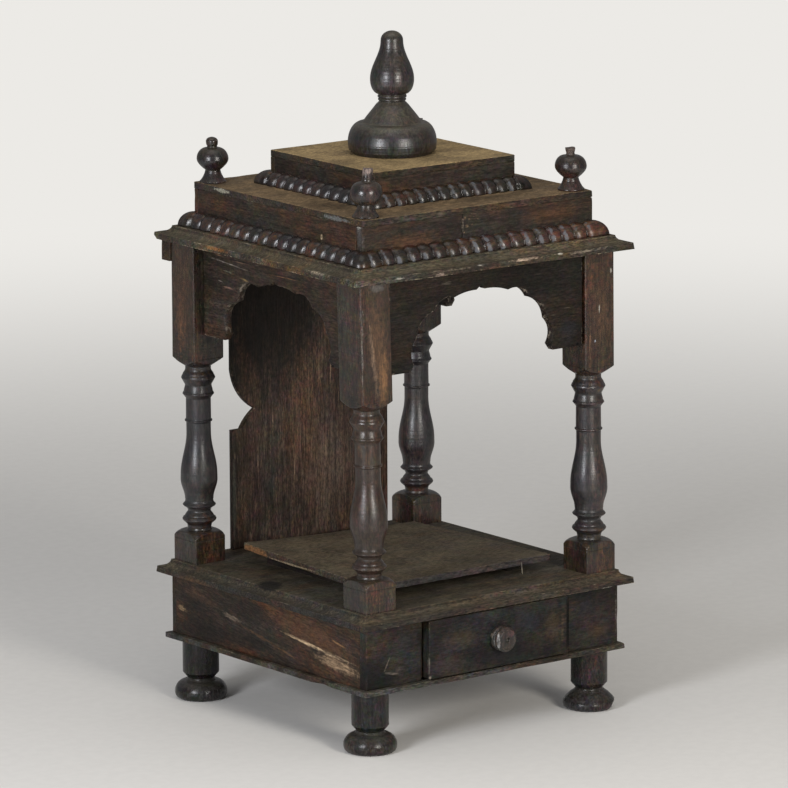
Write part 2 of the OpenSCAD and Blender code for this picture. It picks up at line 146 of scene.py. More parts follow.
@dataclass
class Shape:
    """A closed mesh with two values per point: edge for worn rims (on the rope, a painted highlight) and
    hollow for grooves.
    """

    points: np.ndarray
    faces: Faces
    edge: np.ndarray
    hollow: np.ndarray

    @classmethod
    def joined(cls, shapes: Sequence["Shape"]) -> "Shape":
        """One shape that holds several."""
        starts = np.cumsum([0, *(len(s.points) for s in shapes)]).tolist()
        faces = [tuple(start + i for i in face) for start, s in zip(starts, shapes) for face in s.faces]
        points, edge, hollow = map(np.concatenate, zip(*((s.points, s.edge, s.hollow) for s in shapes)))
        return cls(points, faces, edge, hollow)

    def placed(self, turn: np.ndarray, shift: Sequence[float]) -> "Shape":
        """The shape turned by a 3 by 3 matrix and moved.

        Args:
            turn: rotation or mirror matrix.
            shift: movement in millimetres.

        Returns:
            The placed shape, with its faces still looking outwards.
        """
        faces = self.faces
        if np.linalg.det(turn) < 0:
            faces = [tuple(reversed(face)) for face in faces]
        return Shape(self.points @ turn.T + np.array(shift, float), faces, self.edge, self.hollow)

    def moved(self, x: float, y: float, z: float) -> "Shape":
        """The shape moved without turning."""
        return self.placed(np.eye(3), (x, y, z))

    def cut(self, normal: Triple, reach: float) -> "Shape":
        """The shape with everything beyond a plane pressed flat onto it.

        Args:
            normal: direction that the plane faces.
            reach: distance of the plane from the origin along that direction.

        Returns:
            The cut shape.
        """
        way = np.array(normal, float)
        way /= np.linalg.norm(way)
        over = np.clip(self.points @ way - reach, 0, None)
        edge = np.maximum(self.edge, np.clip(over, 0, 1))
        return Shape(self.points - over[:, None] * way, self.faces, edge, self.hollow)


def radians(degrees: Triple) -> Triple:
    """Three angles in radians."""
    return tuple(math.radians(a) for a in degrees)


def about_z(degrees: float) -> np.ndarray:
    """Matrix of a turn about the upright axis."""
    c, s = math.cos(math.radians(degrees)), math.sin(math.radians(degrees))
    return np.array([[c, -s, 0], [s, c, 0], [0, 0, 1]])


def crowded_lines(length: float, ease: float, cell: float) -> np.ndarray:
    """Grid lines along one side of a board, crowded near its ends.

    Args:
        length: length of the side.
        ease: radius of the eased edges.
        cell: widest gap between lines.

    Returns:
        Places from 0 to the length.
    """
    near = [d for d in (0, 0.42 * ease, ease, ease + 1.1, ease + 2.8, ease + 5.5) if d < 0.42 * length]
    middle = length - 2 * near[-1]
    count = max(1, round(middle / cell))
    inner = [near[-1] + middle * i / count for i in range(1, count)]
    return np.array(near + inner + [length - d for d in reversed(near)])


@dataclass(frozen=True)
class Board:
    """A sawn board between two corners, with eased, slightly uneven and nicked edges."""

    low: Sequence[float]
    high: Sequence[float]
    seed: int = 0
    ease: float = 1.0
    cell: float = 5.0
    sway: float = 0.3
    nicks: int = 7
    nick_size: float = 2.0

    def nick_field(self, points: np.ndarray) -> np.ndarray:
        """Extra easing at random dents along the edges.

        Args:
            points: places on the plain box.

        Returns:
            Extra radius for each point.
        """
        rng = np.random.default_rng(self.seed + 900)
        low, high = np.array(self.low, float), np.array(self.high, float)
        extra = np.zeros(len(points))
        for _ in range(self.nicks):
            centre = np.where(rng.integers(0, 2, 3) == 1, high, low)
            axis = int(rng.choice(3, p=(high - low) / (high - low).sum()))
            centre[axis] = rng.uniform(low[axis], high[axis])
            width = rng.uniform(1.2, 3.4) * self.nick_size
            depth = rng.uniform(0.35, 1.0) * self.nick_size
            extra += depth * np.exp(-((np.linalg.norm(points - centre, axis=1) / width) ** 2))
        return extra

    def shape(self) -> Shape:
        """Grid of the box's skin, pulled in to rounded edges.

        Returns:
            The board.
        """
        low, high = np.array(self.low, float), np.array(self.high, float)
        lines = [low[a] + crowded_lines(high[a] - low[a], self.ease, self.cell) for a in range(3)]
        skin = np.ones([len(line) for line in lines], bool)
        skin[1:-1, 1:-1, 1:-1] = False
        number = np.full(skin.shape, -1)
        number[skin] = np.arange(skin.sum())
        where = np.argwhere(skin)
        points = np.stack([lines[a][where[:, a]] for a in range(3)], axis=1)
        faces: Faces = []
        for axis in range(3):
            for end in (0, -1):
                sheet = np.take(number, end, axis)
                quad = np.stack(
                    [sheet[:-1, :-1], sheet[1:, :-1], sheet[1:, 1:], sheet[:-1, 1:]], -1,
                ).reshape(-1, 4)
                if (end == 0) != (axis == 1):
                    quad = quad[:, ::-1]
                faces += [tuple(int(i) for i in q) for q in quad]
        gaps = np.sort(np.minimum(points - low, high - points), axis=1)
        edge = np.exp(-gaps[:, 1] / RUBBED)
        radius = self.ease * (0.75 + 0.35 * wobble(points, 22, self.seed)) + self.nick_field(points)
        radius = np.clip(radius, 0.15, 0.47 * (high - low).min())[:, None]
        points = held_round(points, np.minimum(np.maximum(points, low + radius), high - radius), radius)
        points[:, int(np.argmin(high - low))] += self.sway * wobble(points, 45, self.seed + 50) * 0.5
        return Shape(points, faces, edge, np.zeros(len(points)))


def finer(outline: Sequence[Pair], step: float, near: float = 0.45) -> list[Pair]:
    """A profile with more points, and one close to each side of every corner.

    Args:
        outline: the profile's points.
        step: widest gap between points.
        near: distance of the extra points from the corners.

    Returns:
        The finer profile.
    """
    made: list[Pair] = []
    for (ax, ay), (bx, by) in zip(outline, outline[1:]):
        length = math.hypot(bx - ax, by - ay)
        if length < 0.02:
            continue
        count = math.ceil(length / step)
        shares = [i / count for i in range(count)]
        if length > 3 * near:
            shares = sorted({*shares, near / length, 1 - near / length})
        made += [(ax + (bx - ax) * s, ay + (by - ay) * s) for s in shares]
    return made + [tuple(outline[-1])]


def bulges(outline: np.ndarray, reach: float) -> tuple[np.ndarray, np.ndarray]:
    """How far each point of a profile stands out from, or lies in, its surroundings.

    Args:
        outline: profile points as rows of radius and height.
        reach: distance along the profile that counts as surroundings.

    Returns:
        The standing out and the lying in, from 0 to 1.
    """
    run = np.concatenate([[0], np.cumsum(np.linalg.norm(np.diff(outline, axis=0), axis=1))])
    before, after = (
        np.stack([np.interp(run + d, run, outline[:, k]) for k in (0, 1)], 1)
        for d in (-reach, reach)
    )
    way = after - before
    side = np.stack([way[:, 1], -way[:, 0]], 1)
    side /= lengths(side)
    stand = ((outline - (before + after) / 2) * side).sum(1) / (0.3 * reach)
    return np.clip(stand, 0, 1), np.clip(-stand, 0, 1)


@dataclass(frozen=True)
class Turning:
    """A turned piece on the Z axis, round or with square blocks where its profile is wide."""

    profile: Sequence[Pair]
    sides: int = 80
    step: float = 1.3
    block: float = 0.0
    seed: int = 0
    shake: float = 0.12

    def angles(self) -> np.ndarray:
        """Angles of the profile's copies, crowded towards the corners of a square block."""
        if not self.block:
            return np.arange(self.sides) * 2 * math.pi / self.sides
        octant = (1 - (1 - np.arange(12) / 12) ** 1.7) * math.pi / 4
        quarter = np.concatenate([octant, [math.pi / 4], (math.pi / 2 - octant)[::-1][:-1]])
        return np.concatenate([quarter + k * math.pi / 2 for k in range(4)])

    def shape(self) -> Shape:
        """Rings of points up the profile, closed by a point at each end.

        Returns:
            The turned piece.
        """
        outline = np.array(finer(self.profile, self.step))
        stand, lie = bulges(outline, 2.0)
        body, angles = outline[1:-1], self.angles()
        count = len(angles)
        radius = np.repeat(body[:, :1], count, 1)
        edge = np.repeat(stand[1:-1, None], count, 1)
        if self.block:
            power = 34
            round_square = (np.abs(np.cos(angles)) ** power + np.abs(np.sin(angles)) ** power) ** (-1 / power)
            limit = np.repeat((self.block * round_square)[None, :], len(body), 0)
            square = radius > limit
            radius = np.minimum(radius, limit)
            off = self.block - np.minimum(np.abs(radius * np.cos(angles)), np.abs(radius * np.sin(angles)))
            edge = np.where(square, np.exp(-off / RUBBED), edge)
        x, y = radius * np.cos(angles), radius * np.sin(angles)
        z = np.repeat(body[:, 1:], count, 1)
        rings = np.stack([x, y, z], -1).reshape(-1, 3)
        shake = 1 - self.shake * 0.5 * (1 - wobble(rings, 14, self.seed)) / np.maximum(radius.ravel(), 4)
        rings[:, :2] *= shake[:, None]
        points = np.concatenate([rings, [[0, 0, outline[0, 1]], [0, 0, outline[-1, 1]]]])
        rows = [range(k * count, (k + 1) * count) for k in range(len(body))]
        faces = [face for one, two in zip(rows, rows[1:]) for face in band(one, two)]
        low, high, last = len(rings), len(rings) + 1, rows[-1][0]
        faces += [(low, (i + 1) % count, i) for i in range(count)]
        faces += [(high, last + i, last + (i + 1) % count) for i in range(count)]
        edge = np.concatenate([edge.ravel(), [0, 0]])
        hollow = np.concatenate([np.repeat(lie[1:-1], count), [0, 0]])
        return Shape(points, faces, edge, hollow)


@dataclass(frozen=True)
class MouldedBoard:
    """A rectangular board with the same moulded edge on all sides; edge lists inset and height."""

    half: Pair
    edge: Sequence[Pair]
    seed: int = 0
    corner: float = 1.2
    sway: float = 0.35

    def shape(self) -> Shape:
        """Square rings along the moulded edge, with flat rings inside it on both faces.

        Returns:
            The board, lying on z = 0 and centred on X and Y.
        """
        size = min(self.half)
        last_inset, top = self.edge[-1]
        inward = (2.0, 6.0, 14.0, 28.0, 50.0, 80.0, 110.0, 0.86 * size)
        below = [(self.edge[0][0] + d, 0.0) for d in reversed(inward) if d < 0.9 * size]
        above = [(last_inset + d, top) for d in inward if last_inset + d < 0.9 * size]
        line = finer([*below[-1:], *self.edge, above[0]], 1.4)
        outline = np.array([*below[:-1], *line, *above[1:]])
        stand, lie = bulges(np.stack([-outline[:, 0], outline[:, 1]], 1), 1.5)
        walks = [crowded_lines(2 * half, self.corner, 5.0)[:-1] / half - 1 for half in self.half]
        x, y = (np.stack([walk, -np.ones(len(walk))], 1) for walk in walks)
        loop = np.concatenate([x, y[:, ::-1] * (-1, 1), -x, y[:, ::-1] * (1, -1)])
        count = len(loop)
        rows = []
        for inset, height in outline:
            half = np.array(self.half) - inset
            core = np.clip(loop * half, -half + self.corner, half - self.corner)
            rows.append(np.column_stack([held_round(loop * half, core, self.corner), np.full(count, height)]))
        points = np.concatenate(rows)
        rim = np.repeat(np.exp(-np.clip(outline[:, 0], 0, None) / 6), count)
        points[:, 2] += self.sway * rim * wobble(points * [1, 1, 0], 60, self.seed)
        points[:, :2] *= 1 - (0.0022 * rim * (1 - wobble(points, 18, self.seed + 1)))[:, None]
        bands = [range(k * count, (k + 1) * count) for k in range(len(outline))]
        faces = [
            tuple(bands[0])[::-1], *(face for pair in zip(bands, bands[1:]) for face in band(*pair)),
            tuple(bands[-1]),
        ]
        return Shape(points, faces, np.repeat(stand, count), np.repeat(lie, count))


@dataclass(frozen=True)
class RopeRing:
    """Four mitred lengths of carved rope moulding round a box.

    Each length lists the middles of its strands, measured along X or Y.
    """

    half: float
    height: float
    depth: float
    front: Sequence[float]
    right: Sequence[float]
    back: Sequence[float]
    left: Sequence[float]
    lean: float = 1.5
    slope: float = 58.0
    groove: float = 0.34
    seed: int = 0

    def relief(
        self, along: np.ndarray, up: np.ndarray, middles: Sequence[float], steep: float
    ) -> tuple[np.ndarray, np.ndarray]:
        """How full the section is at each point, with the grooves between the strands.

        Args:
            along: place along the length.
            up: share of the height.
            middles: middles of the strands, in rising order.
            steep: side of each strand's steep flank, -1 or 1, towards which it leans.

        Returns:
            A factor of up to 1 on the section, and where a pale highlight is painted on the steep flank.
        """
        centres = np.array(middles)
        gaps = np.diff(centres)
        ends = centres[0] - gaps[0] / 2, centres[-1] + gaps[-1] / 2
        walls = np.concatenate([[ends[0]], (centres[1:] + centres[:-1]) / 2, [ends[1]]])
        place = along - steep * self.lean * (up - 0.4)
        strand = np.clip(np.searchsorted(walls, place) - 1, 0, len(centres) - 1)
        width = walls[strand + 1] - walls[strand]
        share = np.clip((place - (walls[strand] + walls[strand + 1]) / 2) / (width / 2), -1, 1)
        far = (1 - steep * share) / 2
        slope = math.radians(self.slope)
        fall = (1 - np.sqrt(1 - (share * math.sin(slope)) ** 2)) / (1 - math.cos(slope))
        outside = (place < walls[0] - 0.6) | (place > walls[-1] + 0.6)
        rng = np.random.default_rng(self.seed)
        depths = self.groove * (1 + 0.16 * rng.uniform(-1, 1, len(centres)))
        # painted highlight: a pale band along each strand's steep flank, fainter towards the top and faint on
        # the plain ends
        pale = np.exp(-(((far - 0.22) / 0.15) ** 2)) * (1 - 0.3 * up)
        return np.where(outside, 1.0, 1 - depths[strand] * fall), np.where(outside, 0.2, pale)

    def shape(self) -> Shape:
        """The closed ring of sections.

        Returns:
            The rope moulding, standing on z = 0 round the box.
        """
        half = self.half
        turns = np.radians([0, *range(5, 84, 6), 90])
        outs = np.array([*(self.depth * math.cos(a) for a in turns), -0.4, -0.4])
        ups = np.array([*(self.height * math.sin(a) for a in turns), self.height, 0.0])
        carved = np.arange(len(outs)) < len(turns)
        # the third value of each run is how strongly its strands get the painted highlight; the left run gets
        # none
        runs = [
            (self.front, -1.0, 1.0, lambda u, o: (u, -half - o)),
            (self.right, 1.0, 0.8, lambda u, o: (half + o, u)),
            (sorted(-b for b in self.back), -1.0, 0.4, lambda u, o: (-u, half + o)),
            (sorted(-b for b in self.left), 1.0, 0.0, lambda u, o: (-half - o, -u)),
        ]
        inner = np.arange(-half, half + 0.1, 2 * half / round(2 * half / 0.66))
        rows, hollows, edges = [], [], []
        for middles, steep, wear_and_sheen, put in runs:
            for u in np.concatenate([[-half - 1.0], inner]):
                first = u < -half - 0.5
                along = -half - outs if first else np.full(len(outs), u)
                full, pale = self.relief(along, ups / self.height, middles, steep)
                near = np.clip((half - np.abs(along)) / 3, 0, 1)
                full = 1 - (1 - full) * np.where(carved, near, 0)
                o = np.where(carved, outs * full, outs)
                z = np.where(carved, ups * (0.62 + 0.38 * full), ups)
                if first:
                    along = -half - o
                    o = np.where(outs > 0, o - 0.25, o)
                x, y = put(along, o)
                rows.append(np.column_stack([np.broadcast_to(x, o.shape), np.broadcast_to(y, o.shape), z]))
                groove = np.clip((1 - full) / self.groove, 0, 1)
                # under the painted highlight the groove is not darkened, and the edge value carries the
                # highlight
                hollows.append(np.where(carved, np.maximum(groove * (1 - pale), 0.7 * first), 0))
                edges.append(np.where(carved, pale * wear_and_sheen, 0))
        count, points, hollow = len(outs), np.concatenate(rows), np.concatenate(hollows)
        points += 0.1 * wobble(points, 14, self.seed)[:, None] * (1 - hollow)[:, None]
        rings = [range(k * count, (k + 1) * count) for k in range(len(rows))]
        faces = [face for pair in zip(rings, rings[1:] + rings[:1]) for face in band(*pair, flipped=True)]
        return Shape(points, faces, np.concatenate(edges), hollow)


@dataclass(frozen=True)
class SawnPanel:
    """A board sawn to an outline, given as points of width and height with the wood on the left."""

    outline: Sequence[Pair]
    thickness: float
    seed: int = 0
    bevel: float = 0.7
    cell: float = 7.0

    def gaps(self, places: np.ndarray) -> np.ndarray:
        """Distance of each place from the outline."""
        a = np.array(self.outline)
        best = np.full(len(places), np.inf)
        for start, run in zip(a, np.roll(a, -1, axis=0) - a):
            share = np.clip(((places - start) @ run) / max(run @ run, 1e-9), 0, 1)
            best = np.minimum(best, np.linalg.norm(places - start - share[:, None] * run, axis=1))
        return best

    def holds(self, places: np.ndarray) -> np.ndarray:
        """Whether each place is inside the outline."""
        a = np.array(self.outline)
        inside = np.zeros(len(places), bool)
        for (ax, ay), (bx, by) in zip(a, np.roll(a, -1, axis=0)):
            crosses = (ay > places[:, 1]) != (by > places[:, 1])
            if abs(by - ay) > 1e-9:
                inside ^= crosses & (places[:, 0] < (bx - ax) * (places[:, 1] - ay) / (by - ay) + ax)
        return inside

    def inset(self, distance: float) -> np.ndarray:
        """The outline moved into the wood."""
        a = np.array(self.outline)
        before, after = a - np.roll(a, 1, axis=0), np.roll(a, -1, axis=0) - a
        left = [np.stack([-w[:, 1], w[:, 0]], 1) / lengths(w) for w in (before, after)]
        mean = left[0] + left[1]
        mean /= lengths(mean)
        stretch = np.clip((mean * left[1]).sum(1), 0.45, 1)
        return a + mean * (distance / stretch)[:, None]

    def shape(self) -> Shape:
        """Both faces as triangles that follow the outline, joined by bevelled sides.

        Returns:
            The board, with width on X, its face at y = 0 and its back at y = thickness.
        """
        rim = self.inset(self.bevel)
        columns = [np.arange(low, high, self.cell) for low, high in zip(rim.min(0), rim.max(0))]
        grid = np.stack(np.meshgrid(*columns), -1).reshape(-1, 2) + 0.31 * self.cell
        second = self.inset(self.bevel + 2.2)
        extra = np.concatenate([second, grid])
        keep = self.holds(extra) & (self.gaps(extra) > self.bevel + 1.7)
        keep[len(second):] &= self.gaps(grid) > self.bevel + 4.5
        flat = [Vector(p) for p in np.concatenate([rim, extra[keep]])]
        found, _, triangles, origins, *_ = delaunay_2d_cdt(flat, [], [list(range(len(rim)))], 1, 1e-5)
        places = np.array([list(v) for v in found])
        slot_of = {origin: i for i, all_origins in enumerate(origins) for origin in all_origins}
        count, size, depth = len(rim), len(places), self.thickness
        gaps = self.gaps(places)
        sag = 0.25 * wobble(
            np.column_stack([places, np.zeros(size)]), 50, self.seed,
        ) * np.clip(gaps - self.bevel - 1, 0, 1)
        sheets = [np.column_stack([places[:, 0], d + sag, places[:, 1]]) for d in (0.0, depth)]
        levels = [self.bevel, depth / 2, depth - self.bevel]
        walls = [np.insert(np.array(self.outline), 1, d, axis=1) for d in levels]
        points = np.concatenate([*sheets, *walls])
        faces = [tuple(t) for t in triangles] + [tuple(size + i for i in reversed(t)) for t in triangles]
        rings = [[slot_of[i] for i in range(count)]]
        rings += [[2 * size + k * count + i for i in range(count)] for k in range(len(levels))]
        rings += [[size + slot_of[i] for i in range(count)]]
        faces += [face for pair in zip(rings, rings[1:]) for face in band(*pair, flipped=True)]
        near = np.exp(-gaps / RUBBED)
        edge = np.concatenate([near, near, np.repeat([1.0, 0.9, 1.0], count)])
        return Shape(points, faces, edge, np.zeros(len(points)))


# ---- finishes ----


class Wiring:
    """Places and links the nodes of one shader tree."""

    def __init__(self, tree: bpy.types.NodeTree) -> None:
        """Keeps the tree that the nodes go into."""
        self.tree = tree

    @classmethod
    def emptied(cls, owner: Any) -> "Wiring":
        """Wiring for the emptied node tree of a material or of the background."""
        owner.use_nodes = True
        owner.node_tree.nodes.clear()
        return cls(owner.node_tree)

    def feed(self, socket: Socket, value: Any) -> None:
        """Links a socket to another one, or sets its value."""
        if isinstance(value, Socket):
            self.tree.links.new(value, socket)
        else:
            socket.default_value = value

    def node(self, kind: str, settings: dict[str, Any] | None = None, **sockets: Any) -> bpy.types.Node:
        """Places a node.

        Args:
            kind: the node's type, without its ShaderNode prefix.
            settings: values of the node's own properties.
            **sockets: values or links of its inputs, with _ for a blank.

        Returns:
            The node.
        """
        made = self.tree.nodes.new("ShaderNode" + kind)
        for key, value in (settings or {}).items():
            setattr(made, key, value)
        for key, value in sockets.items():
            self.feed(made.inputs[key.replace("_", " ")], value)
        return made

    def effect(self, title: str, **values: Any) -> Any:
        """Places one of the shared effects.

        Args:
            title: the effect's title.
            **values: values or links of its inputs, with _ for a blank.

        Returns:
            Its output, or its outputs by name where it has several.
        """
        made = self.node("Group", {"node_tree": SHOP.effects[title].tree}, **values)
        found = {socket.name: socket for socket in made.outputs}
        return found if len(found) > 1 else made.outputs[0]

    def maths(self, operation: str, *terms: Any, clamp: bool = False) -> Socket:
        """Result of a sum on numbers."""
        made = self.node("Math", {"operation": operation, "use_clamp": clamp})
        for socket, term in zip(made.inputs, terms):
            self.feed(socket, term)
        return made.outputs[0]

    def plus(self, first: Any, second: Any, clamp: bool = False) -> Socket:
        """Sum of two numbers."""
        return self.maths("ADD", first, second, clamp=clamp)

    def less(self, first: Any, second: Any) -> Socket:
        """Difference of two numbers."""
        return self.maths("SUBTRACT", first, second)

    def times(self, first: Any, second: Any, clamp: bool = False) -> Socket:
        """Product of two numbers."""
        return self.maths("MULTIPLY", first, second, clamp=clamp)

    def vectors(self, operation: str, *terms: Any) -> Socket:
        """Result of a sum on vectors, as a vector or as a number where the sum gives one."""
        made = self.node("VectorMath", {"operation": operation})
        for socket, term in zip(made.inputs, terms):
            self.feed(socket, term)
        return made.outputs["Value" if operation in ("LENGTH", "DOT_PRODUCT") else "Vector"]

    def scaled(self, vector: Any, by: Any) -> Socket:
        """A vector or colour made longer or shorter."""
        return self.node("VectorMath", {"operation": "SCALE"}, Vector=vector, Scale=by).outputs["Vector"]

    def turned(self, vector: Any, angles: Any, back: bool = False) -> Socket:
        """A vector turned by three angles, or turned back."""
        settings = {"rotation_type": "EULER_XYZ", "invert": back}
        return self.node("VectorRotate", settings, Vector=vector, Rotation=angles).outputs[0]

    def mixed(self, share: Any, first: Any, second: Any) -> Socket:
        """Mix of two colours by a share."""
        made = self.node("Mix", {"data_type": "RGBA"})
        for index, value in ((0, share), (6, first), (7, second)):
            self.feed(made.inputs[index], value)
        return made.outputs[2]

    def blended(self, share: Any, first: bpy.types.Node, second: bpy.types.Node) -> bpy.types.Node:
        """Mix of two shaders by a share."""
        made = self.node("MixShader", None, Fac=share)
        self.feed(made.inputs[1], first.outputs[0])
        self.feed(made.inputs[2], second.outputs[0])
        return made

    def end(self, shader: bpy.types.Node, kind: str = "OutputMaterial") -> None:
        """Leads a shader to the tree's output."""
        self.feed(self.node(kind).inputs["Surface"], shader.outputs[0])

    def span(self, value: Any, low: Any, high: Any, to_low: Any = 0.0, to_high: Any = 1.0) -> Socket:
        """A value mapped smoothly from one range to another, and held inside it."""
        settings = {"interpolation_type": "SMOOTHSTEP"}
        made = self.node(
            "MapRange", settings, Value=value, From_Min=low, From_Max=high, To_Min=to_low, To_Max=to_high,
        )
        return made.outputs[0]

    def noise(
        self, place: Any, scale: Any, detail: float = 3.0, rough: float = 0.55, bend: float = 0.0,
        part: str = "Fac",
    ) -> Socket:
        """Cloudy value of about 0.3 to 0.7 at a place, or cloudy colour."""
        made = self.node(
            "TexNoise", None, Vector=place, Scale=scale, Detail=detail, Roughness=rough, Distortion=bend,
        )
        return made.outputs[part]


ORIGIN = (0.0, 0.0, 0.0)


class Effect:
    """A shader node group with named sockets, built once and placed with its own values."""

    title: ClassVar[str] = ""
    takes: ClassVar[dict[str, Any]] = {}
    gives: ClassVar[tuple[str, ...]] = ("Mask",)

    def __init__(self) -> None:
        """Makes the group's sockets and wires its inside."""
        self.tree = bpy.data.node_groups.new(self.title, "ShaderNodeTree")
        for name, value in self.takes.items():
            kind = {3: "NodeSocketVector", 4: "NodeSocketColor"}.get(np.size(value), "NodeSocketFloat")
            socket = self.tree.interface.new_socket(name=name, in_out="INPUT", socket_type=kind)
            socket.default_value = value
        for name in self.gives:
            kind = "NodeSocketColor" if name == "Colour" else "NodeSocketFloat"
            self.tree.interface.new_socket(name=name, in_out="OUTPUT", socket_type=kind)
        source = self.tree.nodes.new("NodeGroupInput")
        sink = self.tree.nodes.new("NodeGroupOutput")
        net = Wiring(self.tree)
        results = self.wire(net, [source.outputs[name] for name in self.takes])
        for name, socket in zip(self.gives, results):
            net.feed(sink.inputs[name], socket)

    def wire(self, net: Wiring, given: Sequence[Any]) -> Sequence[Any]:
        """Wires the inside of the group.

        Args:
            net: what places nodes in the group.
            given: the group's inputs in the order of takes.

        Returns:
            One socket for each name in gives.
        """
        raise NotImplementedError


class WoodGrain(Effect):
    """Fibres, bands and soft clouds of stained wood; Lean turns the grain."""

    title = "wood_grain"
    takes = {"Position": ORIGIN, "Lean": ORIGIN, "Stretch": (1.0, 1.0, 1.0), "Offset": 0.0, "Bend": 0.6}
    gives = ("Fibre", "Band", "Streak", "Cloud", "Glow", "Film", "Grit")

    def wire(self, net: Wiring, given: Sequence[Any]) -> Sequence[Any]:
        """Wires noises on stretched, half stretched and plain places."""
        place, lean, stretch, offset, bend = given
        start = net.node("CombineXYZ", None, X=offset, Y=offset, Z=offset).outputs[0]
        plain = net.vectors("ADD", net.turned(place, lean), start)
        drawn = net.vectors("MULTIPLY", plain, stretch)
        half = net.vectors("ADD", net.scaled(stretch, 0.78), (0.22, 0.22, 0.22))
        half = net.vectors("MULTIPLY", plain, half)
        fibre = net.span(net.noise(drawn, 560.0, 4.0, 0.7), 0.28, 0.72)
        band = net.span(net.noise(half, 90.0, 5.0, 0.65, bend), 0.26, 0.74)
        streak = net.span(net.noise(half, 190.0, 5.0, 0.65, bend), 0.3, 0.7)
        cloud = net.span(net.noise(plain, 22.0, 4.0, 0.6), 0.34, 0.66)
        glow = net.span(net.noise(half, 22.0, 6.0, 0.66, 0.5), 0.42, 0.68)
        film = net.span(
            net.noise(net.vectors("ADD", half, (7.0, 3.0, 5.0)), 26.0, 6.0, 0.68), 0.44, 0.66,
        )
        short = net.vectors("MULTIPLY", plain, net.vectors("ADD", stretch, (0.3, 0.3, 0.3)))
        return fibre, band, streak, cloud, glow, film, net.noise(short, 520.0, 3.0, 0.75)


class Mottle(Effect):
    """Small uneven tints, greenish and purplish, as old stain and hands leave them."""

    title = "mottle"
    takes = {"Position": ORIGIN, "Colour": (0.5, 0.5, 0.5, 1.0), "Amount": 0.6}
    gives = ("Colour",)

    def wire(self, net: Wiring, given: Sequence[Any]) -> Sequence[Any]:
        """Wires coloured noise of two sizes onto a colour."""
        place, colour, amount = given
        fine = net.noise(place, 330.0, 4.0, 0.7, part="Color")
        wide = net.noise(place, 70.0, 3.0, 0.6, part="Color")
        both = net.vectors("ADD", net.vectors("MULTIPLY", fine, (1.3, 1.1, 1.4)), wide)
        lift = net.scaled(net.vectors("SUBTRACT", both, (1.15, 1.05, 1.2)), amount)
        return (net.vectors("MULTIPLY", colour, net.vectors("ADD", lift, (1.0, 1.0, 1.0))),)


class EdgeWear(Effect):
    """Where the finish is rubbed off along the edges; on the carved rope this mask paints a highlight on the
    strands' steep flanks instead.
    """

    title = "edge_wear"
    takes = {"Edge": 0.0, "Position": ORIGIN, "Offset": 0.0, "Amount": 0.4}

    def wire(self, net: Wiring, given: Sequence[Any]) -> Sequence[Any]:
        """Wires the edge value against two sizes of noise."""
        edge, place, offset, amount = given
        place = net.vectors(
            "ADD", place, net.node("CombineXYZ", None, X=offset, Y=3.0, Z=1.0).outputs[0],
        )
        broad = net.span(net.noise(place, 38.0, 2.0), 0.36, 0.64)
        small = net.span(net.noise(place, 260.0, 4.0, 0.65), 0.34, 0.66)
        wear_and_sheen = net.times(edge, net.plus(net.times(broad, 0.6), 0.4))
        value = net.times(wear_and_sheen, net.plus(net.times(small, 0.75), 0.25))
        limit = net.less(1.0, amount)
        return (net.span(value, limit, net.plus(limit, 0.3)),)


class SettledDust(Effect):
    """Dust on faces that look up, in grooves, and thinly all over."""

    title = "settled_dust"
    takes = {
        "Normal": (0.0, 0.0, 1.0), "Position": ORIGIN, "Hollow": 0.0, "Upward": 0.5, "Thin": 0.1,
        "In Grooves": 0.2,
    }

    def wire(self, net: Wiring, given: Sequence[Any]) -> Sequence[Any]:
        """Wires the upward look of the face with cloudy noise."""
        normal, place, hollow, upward, thin, in_grooves = given
        upright = net.node("SeparateXYZ", None, Vector=normal).outputs[2]
        cloud = net.span(net.noise(place, 30.0, 5.0, 0.62), 0.3, 0.7)
        grit = net.span(net.noise(place, 420.0, 3.0, 0.7), 0.3, 0.7)
        uneven = net.plus(net.times(cloud, 0.55), net.times(grit, 0.3))
        top = net.times(net.span(upright, 0.25, 0.95), upward)
        top = net.times(top, net.plus(uneven, 0.3))
        film = net.times(net.plus(uneven, 0.3), thin)
        deep = net.times(hollow, in_grooves)
        return (net.plus(net.plus(top, film), deep, clamp=True),)


class Scratches(Effect):
    """Thin pale scratches that lean one way, in scattered groups."""

    title = "scratches"
    takes = {"Position": ORIGIN, "Lean": ORIGIN, "Stretch": (1.0, 1.0, 1.0), "Amount": 0.3}

    def wire(self, net: Wiring, given: Sequence[Any]) -> Sequence[Any]:
        """Wires strongly stretched noise, thinned by broad noise."""
        place, lean, stretch, amount = given
        drawn = net.vectors("MULTIPLY", net.turned(place, lean), stretch)
        lines = net.span(net.noise(drawn, 430.0, 2.0, 0.5, 0.2), 0.62, 0.72)
        groups = net.span(net.noise(place, 34.0, 2.0), 0.5, 0.68)
        return (net.times(net.times(lines, groups), amount),)


